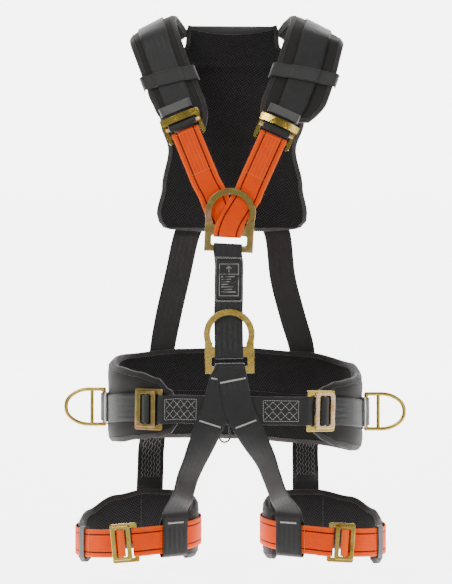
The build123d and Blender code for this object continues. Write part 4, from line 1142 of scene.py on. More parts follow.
def ribbed(name, base, light, pitch, rough, sheen=0.2, spec=0.4, along=True):
    m, nt, b = new_mat(name)
    vec, u, v = uv_parts(nt)
    s = math(nt, "ADD", math(nt, "MULTIPLY", math(nt, "SINE", math(nt, "MULTIPLY", u if along else v, 2 * pi / pitch)), 0.5), 0.5)
    t = math(nt, "ADD", math(nt, "MULTIPLY", math(nt, "SINE", math(nt, "MULTIPLY", v if along else u, 2 * pi / (pitch * 0.7))), 0.5), 0.5)
    n1 = node(nt, "ShaderNodeTexNoise", Scale=60.0, Detail=4.0)
    nt.links.new(vec, n1.inputs["Vector"])
    c = mix(nt, s, tuple(x * 0.4 for x in base), base)
    c = mix(nt, math(nt, "MULTIPLY", n1.outputs["Fac"], 0.6), c, light)
    nt.links.new(c, b.inputs["Base Color"])
    b.inputs["Roughness"].default_value = rough
    b.inputs["Sheen Weight"].default_value = sheen
    b.inputs["Specular IOR Level"].default_value = spec
    bump(nt, b, math(nt, "ADD", s, math(nt, "MULTIPLY", t, 0.4)), 0.6, 0.0005)
    return m


def thread_mat(name, col):
    m, nt, b = new_mat(name)
    tc = nt.nodes.new("ShaderNodeTexCoord")
    n1 = node(nt, "ShaderNodeTexNoise", Scale=700.0, Detail=2.0)
    nt.links.new(tc.outputs["Object"], n1.inputs["Vector"])
    c = mix(nt, n1.outputs["Fac"], tuple(x * 0.6 for x in col), col)
    nt.links.new(c, b.inputs["Base Color"])
    b.inputs["Roughness"].default_value = 0.6
    b.inputs["Sheen Weight"].default_value = 0.2
    bump(nt, b, n1.outputs["Fac"], 0.4, 0.0003)
    return m


M_BLACK = webbing("black_webbing", (0.018, 0.0175, 0.017), (0.007, 0.007, 0.007), (0.034, 0.033, 0.032), rough=0.5, spec=0.45, sheen=0.08)
M_DARK = webbing("dark_webbing", (0.0105, 0.0102, 0.0100), (0.0040, 0.0040, 0.0040), (0.020, 0.0193, 0.0187), rough=0.48, spec=0.42, sheen=0.06)
M_ORANGE = webbing("orange_webbing", (1.0, 0.082, 0.0), (0.66, 0.034, 0.0), (1.0, 0.12, 0.0), tracer=(0.012, 0.004, 0.002), edge=(0.92, 0.13, 0.012), rough=0.7, sheen=0.0, spec=0.12)
GOLD = [(0.18, (0.368, 0.194, 0.030)), (0.40, (0.560, 0.360, 0.065)), (0.52, (0.480, 0.403, 0.085)), (0.64, (0.640, 0.432, 0.110)), (0.80, (0.656, 0.360, 0.150)), (0.95, (0.720, 0.562, 0.210))]
BRONZE = [(0.20, (0.20, 0.115, 0.035)), (0.38, (0.36, 0.215, 0.070)), (0.50, (0.27, 0.235, 0.065)), (0.62, (0.46, 0.275, 0.115)), (0.74, (0.50, 0.250, 0.170)), (0.90, (0.42, 0.300, 0.120))]
PINK = [(0.20, (0.541, 0.338, 0.120)), (0.45, (0.705, 0.475, 0.252)), (0.60, (0.738, 0.504, 0.312)), (0.75, (0.705, 0.518, 0.216)), (0.92, (0.779, 0.576, 0.372))]
OLIVE = [(0.18, (0.234, 0.139, 0.030)), (0.42, (0.378, 0.254, 0.054)), (0.58, (0.432, 0.312, 0.072)), (0.78, (0.504, 0.328, 0.090)), (0.92, (0.540, 0.410, 0.132))]
M_GOLD = metal("zinc_gold", GOLD, 0.20)
M_BRONZE = metal("zinc_bronze", BRONZE, 0.27)
M_PINK = metal("zinc_pink", PINK, 0.24)
M_OLIVE = metal("zinc_olive", OLIVE, 0.25)
M_COVER = cover_fabric("pad_cover", (0.013, 0.0105, 0.0095), (0.024, 0.0205, 0.0185))
M_BIND = ribbed("binding", (0.020, 0.0165, 0.015), (0.040, 0.034, 0.031), 0.0013, 0.7, 0.12, 0.3)
M_BINDK = ribbed("binding_black", (0.022, 0.020, 0.019), (0.045, 0.042, 0.040), 0.0013, 0.7, 0.3, 0.3)
M_MESH = air_mesh("air_mesh")
M_KEEP = ribbed("keeper_grey", (0.050, 0.049, 0.047), (0.10, 0.098, 0.095), 0.0016, 0.30, 0.1, 0.8)
M_ELAST = ribbed("elastic_black", (0.014, 0.013, 0.0125), (0.028, 0.027, 0.026), 0.0015, 0.45, 0.15, 0.5)
M_WHITE = thread_mat("thread_white", (0.62, 0.61, 0.58))
M_GREY = thread_mat("thread_grey", (0.085, 0.083, 0.080))
M_ORTH = thread_mat("thread_pale_orange", (1.0, 0.26, 0.07))
M_BLK = thread_mat("thread_black", (0.012, 0.011, 0.011))
M_PLAST = ribbed("black_plastic", (0.02, 0.02, 0.02), (0.04, 0.04, 0.04), 0.004, 0.45, 0.0, 0.5)


# ================================================================ mesh building
class Mesh:
    """Vertices in metres, faces with a UV per corner, and a slot number per face."""

    def __init__(self):
        self.v, self.f, self.uv, self.m = [], [], [], []

    def grid(self, rows, uvs, mat=0, flip=False):
        """Rows of points (mm); uvs the same shape, in metres. mat is a number or a function of (row, column)."""
        base = len(self.v)
        cols = len(rows[0])
        for row in rows:
            for p in row:
                self.v.append((p[0] * MM, p[1] * MM, p[2] * MM))
        for i in range(len(rows) - 1):
            for j in range(cols - 1):
                a = base + i * cols + j
                q = (a, a + 1, a + cols + 1, a + cols)
                w = (uvs[i][j], uvs[i][j + 1], uvs[i + 1][j + 1], uvs[i + 1][j])
                if flip:
                    q, w = q[::-1], w[::-1]
                self.f.append(q)
                self.uv.append(w)
                self.m.append(mat(i, j) if callable(mat) else mat)

    def rings(self, rings, uvs, mat=0, caps=True):
        """Closed rings of points (mm), joined one after another; uvs has one more per ring than the points."""
        base = len(self.v)
        n = len(rings[0])
        for ring in rings:
            for p in ring:
                self.v.append((p[0] * MM, p[1] * MM, p[2] * MM))
        for i in range(len(rings) - 1):
            for j in range(n):
                k = (j + 1) % n
                self.f.append((base + i * n + j, base + i * n + k, base + (i + 1) * n + k, base + (i + 1) * n + j))
                self.uv.append((uvs[i][j], uvs[i][j + 1], uvs[i + 1][j + 1], uvs[i + 1][j]))
                self.m.append(mat(i, j) if callable(mat) else mat)
        if caps:
            for i, back in ((0, True), (len(rings) - 1, False)):
                loop = list(range(base + i * n, base + i * n + n))
                w = [uvs[i][j] for j in range(n)]
                if back:
                    loop, w = loop[::-1], w[::-1]
                self.f.append(tuple(loop))
                self.uv.append(tuple(w))
                self.m.append(mat(min(i, len(rings) - 2), 0) if callable(mat) else mat)

    def tube(self, pts, r, mat=0, sides=8, closed=False, flat=1.0, normals=None):
        rings, uvs = [], []
        n = len(pts)
        prev = None
        run = 0.0
        for i in range(n):
            if closed:
                t = vunit(vsub(pts[(i + 1) % n], pts[i - 1]))
            else:
                t = vunit(vsub(pts[min(i + 1, n - 1)], pts[max(i - 1, 0)]))
            if normals:
                a = normals[i]
            elif prev is None:
                a = (0.0, 0.0, 1.0) if abs(t[2]) < 0.9 else (1.0, 0.0, 0.0)
            else:
                a = prev
            a = vsub(a, vmul(t, vdot(a, t)))
            a = vunit(a)
            prev = a
            b = vcross(t, a)
            rr = r[i] if isinstance(r, (list, tuple)) else r
            if i:
                run += vlen(vsub(pts[i], pts[i - 1]))
            ring, uv = [], []
            for k in range(sides):
                th = 2 * pi * k / sides
                ring.append(vadd(pts[i], vadd(vmul(a, rr * flat * cos(th)), vmul(b, rr * sin(th)))))
            for k in range(sides + 1):
                uv.append((k / sides * 2 * pi * rr * MM, run * MM))
            rings.append(ring)
            uvs.append(uv)
        if closed:
            rings.append(rings[0])
            uvs.append([(u, (run + 1) * MM) for u, _v in uvs[0]])
            self.rings(rings, uvs, mat, caps=False)
        else:
            self.rings(rings, uvs, mat)

    def obj(self, name, mats, merge=False, smooth=True):
        me = bpy.data.meshes.new(name)
        me.from_pydata(self.v, [], self.f)
        layer = me.uv_layers.new(name="uv")
        flat = [c for w in self.uv for p in w for c in p]
        layer.data.foreach_set("uv", flat)
        for m in mats:
            me.materials.append(m)
        me.polygons.foreach_set("material_index", self.m)
        me.polygons.foreach_set("use_smooth", [smooth] * len(self.f))
        me.update()
        ob = bpy.data.objects.new(name, me)
        bpy.context.scene.collection.objects.link(ob)
        if merge:
            bm = bmesh.new()
            bm.from_mesh(me)
            bmesh.ops.remove_doubles(bm, verts=bm.verts, dist=1e-6)
            bmesh.ops.recalc_face_normals(bm, faces=bm.faces)
            bm.to_mesh(me)
            bm.free()
        return ob


def fold_path(points, count):
    """Centripetal curve through the stations: a long run next to a tight fold doesn't overshoot."""
    pts = [tuple(float(c) for c in p) for p in points]
    n = len(pts)
    fine = []
    for i in range(n - 1):
        p1, p2 = pts[i], pts[i + 1]
        p0 = pts[i - 1] if i else vsub(vmul(p1, 2), p2)
        p3 = pts[i + 2] if i + 2 < n else vsub(vmul(p2, 2), p1)
        d = [max(1e-3, vlen(vsub(b[:3], a[:3]))) ** 0.5 for a, b in ((p0, p1), (p1, p2), (p2, p3))]
        t0, t1 = 0.0, d[0]
        t2, t3 = d[0] + d[1], d[0] + d[1] + d[2]

        def lerp(a, b, ta, tb, t):
            k = (t - ta) / (tb - ta)
            return tuple(x + (y - x) * k for x, y in zip(a, b))

        for j in range(16):
            t = t1 + (t2 - t1) * j / 16.0
            a1, a2, a3 = lerp(p0, p1, t0, t1, t), lerp(p1, p2, t1, t2, t), lerp(p2, p3, t2, t3, t)
            fine.append(lerp(lerp(a1, a2, t0, t2, t), lerp(a2, a3, t1, t3, t), t1, t2, t))
    fine.append(pts[-1])
    return even(fine, count)


class Strap:
    """A woven ribbon laid along stations, with a place for anything sewn to it."""

    def __init__(self, stations, thick=2.0, step=2.4, seed=0, ripple=0.14, reverse=False):
        length = sum(vlen(vsub(a[:3], b[:3])) for a, b in zip(stations, stations[1:]))
        n = max(8, int(length / step))
        st = fold_path(stations, n)
        if reverse:
            st = st[::-1]
        self.th = thick
        self.p, self.w, self.hw = [], [], []
        for s in st:
            self.p.append(tuple(s[:3]))
            self.w.append(vunit(s[3:6]))
            self.hw.append(s[6])
        self.n = []
        self.run = [0.0]
        k = len(self.p)
        prev = None
        for i in range(k):
            t = vunit(vsub(self.p[min(i + 1, k - 1)], self.p[max(i - 1, 0)]))
            m = vcross(self.w[i], t)
            m = vunit(m)
            if prev is not None and vdot(prev, m) < 0:
                m = vmul(m, -1.0)
            prev = m
            self.n.append(m)
            if i:
                self.run.append(self.run[-1] + vlen(vsub(self.p[i], self.p[i - 1])))
        self.length = self.run[-1]
        r = random.Random(seed * 131 + 5)
        self.ph = [r.uniform(0, 6.28) for _ in range(4)]
        self.amp = ripple

    def wob(self, u, v, hw):
        e = (abs(u) / hw) ** 3
        side = 0 if u < 0 else 1
        return self.amp * e * (sin(v / 9.0 + self.ph[side]) + 0.6 * sin(v / 4.1 + self.ph[2 + side])) * 0.5

    def at(self, u, v, lift=0.0, side=1.0):
        """Point (mm) on the face: u across, v along, lift above the surface; and the outward normal."""
        v = max(0.0, min(self.length - 1e-6, v))
        lo, hi = 0, len(self.run) - 1
        while hi - lo > 1:
            mid = (lo + hi) // 2
            if self.run[mid] <= v:
                lo = mid
            else:
                hi = mid
        f = (v - self.run[lo]) / max(1e-9, self.run[lo + 1] - self.run[lo])
        p = vadd(vmul(self.p[lo], 1 - f), vmul(self.p[lo + 1], f))
        w = vunit(vadd(vmul(self.w[lo], 1 - f), vmul(self.w[lo + 1], f)))
        m = vunit(vadd(vmul(self.n[lo], 1 - f), vmul(self.n[lo + 1], f)))
        hw = self.hw[lo] * (1 - f) + self.hw[lo + 1] * f
        q = vadd(p, vadd(vmul(w, u), vmul(m, side * (self.th / 2 + lift) + self.wob(u, v, hw))))
        return q, vmul(m, side)

    def near(self, p):
        """The run nearest a point (mm)."""
        best = min(range(len(self.p)), key=lambda i: vlen(vsub(self.p[i], p)))
        return self.run[best]

    def build(self, mesh, mat=0, cols=12):
        rings, uvs = [], []
        for p, w, m, hw, v in zip(self.p, self.w, self.n, self.hw, self.run):
            r = self.th / 2
            ring, uv = [], []
            top = [(-(hw - r) + 2 * (hw - r) * i / cols) for i in range(cols + 1)]
            prof = [(x, r) for x in top]
            prof += [(hw - r + r * cos(a), r * sin(a)) for a in (pi / 4, 0.0, -pi / 4)]
            prof += [(x, -r) for x in top[::-1]]
            prof += [(-(hw - r) - r * cos(a), r * sin(a)) for a in (-pi / 4, 0.0, pi / 4)]
            for x, y in prof:
                ring.append(vadd(p, vadd(vmul(w, x), vmul(m, y + self.wob(x, v, hw)))))
                uv.append((x * MM, v * MM))
            uv.append(uv[0])
            rings.append(ring)
            uvs.append(uv)
        mesh.rings(rings, uvs, mat)

    def stitches(self, mesh, path, mat=1, length=2.7, gap=0.9, r=0.36, lift=0.05, side=1.0, jitter=0.12):
        """A sewn line through (u, v) points on the face: short threads with a small gap."""
        q = path
        seg = [sqrt((b[0] - a[0]) ** 2 + (b[1] - a[1]) ** 2) for a, b in zip(q, q[1:])]
        total = sum(seg)
        pitch = length + gap
        count = max(1, int(total / pitch))
        pitch = total / count

        def pos(d):
            i = 0
            while i < len(seg) - 1 and d > seg[i]:
                d -= seg[i]
                i += 1
            f = min(1.0, d / max(1e-9, seg[i]))
            return q[i][0] * (1 - f) + q[i + 1][0] * f, q[i][1] * (1 - f) + q[i + 1][1] * f

        for i in range(count):
            a, b = i * pitch + gap / 2, (i + 1) * pitch - gap / 2
            pts, nn = [], []
            ju, jv = rng.uniform(-jitter, jitter), rng.uniform(-jitter, jitter)
            for k, hgt in ((0.0, -0.45), (0.2, 0.0), (0.5, 0.14), (0.8, 0.0), (1.0, -0.45)):
                u, v = pos(a + (b - a) * k)
                p, m = self.at(u + ju, v + jv, lift + hgt * r, side)
                pts.append(p)
                nn.append(m)
            mesh.tube(pts, [r * 0.7, r, r, r, r * 0.7], mat, sides=5, normals=nn)

    def box(self, mesh, v0, v1, u, mat=1, cross=True, rows=2, **k):
        for i in range(rows):
            a = u - i * 2.2
            b = i * 2.2
            self.stitches(mesh, [(-a, v0 + b), (a, v0 + b), (a, v1 - b), (-a, v1 - b), (-a, v0 + b)], mat, **k)
        if cross:
            self.stitches(mesh, [(-u, v0), (u, v1)], mat, **k)
            self.stitches(mesh, [(u, v0), (-u, v1)], mat, **k)

    def tack(self, mesh, v, u0, u1, mat=1, height=3.0, pitch=0.85, r=0.42, side=1.0, **k):
        """A bar tack across the webbing: packed threads the long way of the webbing."""
        n = int((u1 - u0) / pitch)
        for i in range(n + 1):
            u = u0 + (u1 - u0) * i / n
            h = height / 2 * (1 + rng.uniform(-0.15, 0.1))
            o = rng.uniform(-0.15, 0.15)
            self.stitches(mesh, [(u, v - h + o), (u + pitch * 0.5, v + h + o)], mat, length=2 * h, gap=0.1, r=r, side=side)

    def zigzag(self, mesh, v0, v1, u, teeth, mat=1, **k):
        path = []
        for i in range(2 * teeth + 1):
            path.append((u if i % 2 else -u, v0 + (v1 - v0) * i / (2 * teeth)))
        self.stitches(mesh, path, mat, **k)


def band(rows, thick, step=1.4, **k):
    return Strap(rows, thick, step, ripple=0.05, **k)


# ================================================================ webbing
THREAD = [M_WHITE, M_GREY, M_ORTH, M_BLK]


def strap_piece(name, mat, seed, thick=WT, cad=None, step=2.4, station=None):
    s = Strap(station or PATHS[name], thick, step, seed)
    mesh = Mesh()
    s.build(mesh, 0)
    return s, mesh, [mat] + THREAD


def done(mesh, name, mats, body, *cad):
    ob = mesh.obj(name, mats)
    if body:
        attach(ob, body)
    if cad:
        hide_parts(*cad)
    return ob


def front_side(s, v):
    """+1 where the strap's own normal looks at the viewer's side (-Y)."""
    _p, m = s.at(0, v)
    return 1.0 if m[1] < 0 else -1.0


def out_side(s, v, centre=(0.0, 0.0)):
    p, m = s.at(0, v)
    return 1.0 if (p[0] - centre[0]) * m[0] + (p[1] - centre[1]) * m[1] > 0 else -1.0


# chest straps: orange, sewn close behind each adjuster; they run straight to the ring
_mid = [
    sta(_S.at(-31.0, 42.0, -7.6), (0.93, 0, 0.37)),
    sta(_S.at(-22.0, 22.0, -7.0), (0.93, 0, 0.36)),
    sta(_S.at(-13.0, 3.0, -6.2), (0.95, 0, 0.30), 22.0),
    sta(_S.at(-6.5, -10.0, -RS - 0.3), (0.98, 0, 0.14), 22.0),
    sta(_S.at(-3.0, FOLD_C, -RS), (1, 0, -0.05), 22.0),
]
_mid += [sta(p, (1, 0, -0.05), 22.0) for p in arc(_S, FOLD_C, 0.0, RS, -110, -250, 7, -3.0)]
_mid += [
    sta(_S.at(-3.0, FOLD_C, RS), (1, 0, -0.05), 22.3),
    sta(_S.at(-0.5, EYE_FLAT - 3, RS), (0.97, 0, -0.2), 22.0),
    sta(_S.at(2.2, -4.0, 4.2), (0.95, 0, -0.30), 21.0),
    sta(_S.at(5.2, 3.0, 1.8), (0.935, 0, -0.35), 20.6),
    sta(_S.at(9.0, 10.0, -2.4), (0.915, 0, -0.40), 20.6),
    sta(_S.at(15.5, 22.0, -5.2), (0.90, 0, -0.43), 21.8),
    sta(_S.at(25.5, 40.0, -RS - 1.2), (0.90, 0, -0.43)),
]
PATHS["chest_webbing"] = _pl + _mid + _pr[::-1]
s, me_, mats = strap_piece("chest_webbing", M_ORANGE, 1, step=1.1)
mid = s.length / 2
for k in (-1, 1):
    end = s.near(ADJ["l" if k < 0 else "r"].at(0, -14, 0))
    v_ring = s.near(STERNAL.at(-30 if k < 0 else 30, -20, 0))
    a, b = sorted((end, v_ring))
    far = a if abs(a - mid) > abs(b - mid) else b
    sg = 1.0 if far < mid else -1.0
    sd = front_side(s, far + sg * 14)
    v0, v1 = far + sg * 14.0, far + sg * 82.0
    v0, v1 = min(v0, v1), max(v0, v1)
    for u in (-11.5, -6.0, 0.0, 6.0, 11.5):
        s.stitches(me_, [(u, v0), (u, v1)], 3, side=sd, r=0.32, length=1.7, gap=1.3)
    for u in (-14.6, 14.6):
        s.stitches(me_, [(u, v0), (u, v1)], 4, side=sd, r=0.42, length=1.6, gap=1.4)
    s.stitches(me_, [(-17, v0), (17, v0)], 3, side=sd, r=0.40)
    s.stitches(me_, [(-17, v1), (17, v1)], 3, side=sd, r=0.40)
OB_CHEST = me_.obj("chest_webbing_v", mats)

# label strap, doubled, with the patch's double row round it
s, me_, mats = strap_piece("label_strap", M_DARK, 2, step=1.1)
LABEL = s
OB_LABEL = (me_, mats, s)

# shoulder and back webbing
for side in "lr":
    s, me_, mats = strap_piece("shoulder_webbing_" + side, M_DARK, 3)
    done(me_, "shoulder_webbing_%s_v" % side, mats, "harness", "shoulder_webbing_" + side)
    s, me_, mats = strap_piece("back_webbing_" + side, M_DARK, 4)
    bp = s.near((0, back_y(440.0), 440.0))
    e = s.length
    sd = 1.0 if s.at(0, e - 60)[1][1] > 0 else -1.0
    # sewn to the belt at the back
    for v in (e - 34, e - 14):
        s.tack(me_, v, -15, 15, 1, side=sd)
    s.zigzag(me_, e - 31, e - 17, 14, 7, 1, side=sd, r=0.34)
    sd2 = 1.0 if s.at(0, 26)[1][1] > 0 else -1.0
    for vv in (20.0, 34.0):
        s.tack(me_, vv, -14, 14, 1, side=sd2)
    done(me_, "back_webbing_%s_v" % side, mats, "harness", "back_webbing_" + side)

# risers: from behind the ventral ring's lower bar down to the leg strap, round it and back up, with bar tacks across
# them
RISERS = {}
for side in "lr":
    s, me_, mats = strap_piece("riser_" + side, M_DARK, 5 + (side == "r"), step=1.2)
    for z, h, wdt in ((44.0, 3.0, 20.0), (-27.0, 2.6, 17.0), (-185.5, 2.8, 14.0)):
        cand = [i for i, p in enumerate(s.p) if abs(p[2] - z) < 2.2]
        if not cand:
            continue
        i = min(cand, key=lambda q: s.p[q][1])
        v = s.run[i]
        s.tack(me_, v, -wdt, wdt, 1, height=h, side=front_side(s, v), pitch=0.8)
    RISERS[side] = me_.obj("riser_%s_v" % side, mats)

REARS = {}
for side in "lr":
    s, me_, mats = strap_piece("rear_leg_strap_" + side, M_DARK, 8)
    fs = front_side(s, 40)
    for sd in (fs, -fs):
        for u in (-14, -9, -4, 1, 6, 11, 15):
            path = [(u + 1.6 * sin(v * 0.55 + u), v) for v in range(26, 116, 3)]
            s.stitches(me_, path, 1, side=sd, length=2.4, gap=0.7, r=0.36)
        for v in (26,):
            s.tack(me_, v, -16, 16, 1, side=sd, height=3.0)
    e = s.length
    s.box(me_, e - 48, e - 12, 16, 2, side=-fs)
    REARS[side] = me_.obj("rear_leg_strap_%s_v" % side, mats)

# belt
s, me_, mats = strap_piece("belt_front", M_DARK, 9, step=2.0)
for px, wide in ((-84.0, 25.0), (76.0, 28.0)):
    cand = [i for i, p in enumerate(s.p) if abs(p[0] - px) < 2.0]
    i = min(cand, key=lambda q: s.p[q][1])
    v = s.run[i]
    sd = front_side(s, v)
    s.stitches(me_, [(-16, v - wide), (16, v - wide), (16, v + wide), (-16, v + wide), (-16, v - wide)], 1, side=sd)
    for uc in (-7.5, 7.5):
        for sg in (1, -1):
            path = [(uc + sg * (6.5 if q % 2 else -6.5), v - wide + 2 + (2 * wide - 4) * q / 4) for q in range(5)]
            s.stitches(me_, path, 1, side=sd, r=0.34)
done(me_, "belt_front_v", mats, "harness", "belt_front")

s, me_, mats = strap_piece("belt_webbing", M_DARK, 10, step=2.4)
done(me_, "belt_webbing_v", mats, "harness", "belt_webbing")

# leg straps: orange
for side in "lr":
    s, me_, mats = strap_piece("leg_strap_" + side, M_ORANGE, 11, step=2.2)
    c = LEG[side][0]
    sg = 1.0
    cx = sum(p[0] for p in LEG[side]) / len(LEG[side])
    cy = sum(p[1] for p in LEG[side]) / len(LEG[side])
    for vv in (96.0, 100.0, 130.0, 134.0):
        s.stitches(me_, [(-18, vv), (18, vv)], 3, side=out_side(s, vv, (cx, cy)), r=0.42)
    v = 115.0
    sd = out_side(s, v, (cx, cy))
    for u in (-16, 16):
        s.stitches(me_, [(u, 98), (u, 132)], 3, side=sd, r=0.38)
    e = s.length
    sd = out_side(s, e - 60, (cx, cy))
    for vv in (e - 66, e - 62):
        s.stitches(me_, [(-18, vv), (18, vv)], 3, side=sd, r=0.42)
    done(me_, "leg_strap_%s_v" % side, mats, "leg_loop_" + side, "leg_strap_" + side)

# keepers and bands
for name, rows, th in KEEPERS:
    s = band(rows, th)
    me_ = Mesh()
    s.build(me_, 0, cols=8)
    mats = [M_ELAST if name.startswith(("leg", "pad")) else M_KEEP] + THREAD
    body = {"belt": "belt_slider_", "leg_": "leg_loop_", "pad_": "harness", "stra": "harness"}[name[:4]]
    if body.endswith("_"):
        body += name[-1]
    if name.startswith("pad_band"):
        for u in (-9.5, 9.5):
            sd = front_side(s, s.length / 2)
            s.stitches(me_, [(u, 6), (u, s.length - 6)], 4, side=sd, r=0.3)
    elif name.startswith("strap"):
        sd = front_side(s, s.length / 2)
        for v in (8.0, s.length - 8.0):
            s.tack(me_, v, -5, 5, 2, height=1.6, side=sd)
    done(me_, name + "_v", mats, body, name)


# ================================================================ pads
def dashes(mesh, pts, normals, mat, length=2.8, gap=1.2, r=0.32, lift=0.15):
    """Short threads along a line of points (mm)."""
    run = [0.0]
    for a, b in zip(pts, pts[1:]):
        run.append(run[-1] + vlen(vsub(b, a)))
    if run[-1] < length * 2:
        return
    pitch = length + gap
    count = int(run[-1] / pitch)

    def pos(d):
        i = 0
        lo, hi = 0, len(run) - 1
        while hi - lo > 1:
            m = (lo + hi) // 2
            if run[m] <= d:
                lo = m
            else:
                hi = m
        f = (d - run[lo]) / max(1e-9, run[lo + 1] - run[lo])
        return (
            vadd(vmul(pts[lo], 1 - f), vmul(pts[lo + 1], f)),
            vunit(vadd(vmul(normals[lo], 1 - f), vmul(normals[lo + 1], f))),
        )

    for i in range(count):
        ps, ns = [], []
        for k, h in ((0.0, -0.4), (0.25, 0.0), (0.75, 0.0), (1.0, -0.4)):
            p, m = pos(min(run[-1] - 1e-6, i * pitch + gap / 2 + length * k))
            ps.append(vadd(p, vmul(m, lift + h * r)))
            ns.append(m)
        mesh.tube(ps, [r * 0.7, r, r, r * 0.7], mat, sides=5, normals=ns)


BIND_W = 8.0


def inflate(ob, pins, cap, frames=10, pressure=4.0):
    """Swell a closed pad with a short cloth run, its bound edge held; no point moves further than cap (mm)."""
    vg = ob.vertex_groups.new(name="held")
    vg.add(pins, 1.0, "REPLACE")
    md = ob.modifiers.new("Cloth", "CLOTH")
    st = md.settings
    st.quality = 4
    st.mass = 0.25
    st.tension_stiffness = 22.0
    st.compression_stiffness = 22.0
    st.shear_stiffness = 12.0
    st.bending_stiffness = 2.0
    st.use_pressure = True
    st.uniform_pressure_force = pressure
    st.vertex_group_mass = "held"
    st.effector_weights.gravity = 0.0
    md.collision_settings.use_self_collision = False
    md.collision_settings.use_collision = False
    md.point_cache.frame_start = 1
    md.point_cache.frame_end = frames
    sc = bpy.context.scene
    old = [v.co.copy() for v in ob.data.vertices]
    for f in range(1, frames + 1):
        sc.frame_set(f)
    ev = ob.evaluated_get(bpy.context.evaluated_depsgraph_get())
    new = [v.co.copy() for v in ev.data.vertices]
    ob.modifiers.remove(md)
    ob.vertex_groups.clear()
    sc.frame_set(1)
    lim = cap * MM
    if len(new) == len(old):
        for v, a, b in zip(ob.data.vertices, old, new):
            d = b - a
            if d.length > lim:
                d = d.normalized() * lim
            v.co = a + d
    ob.data.update()


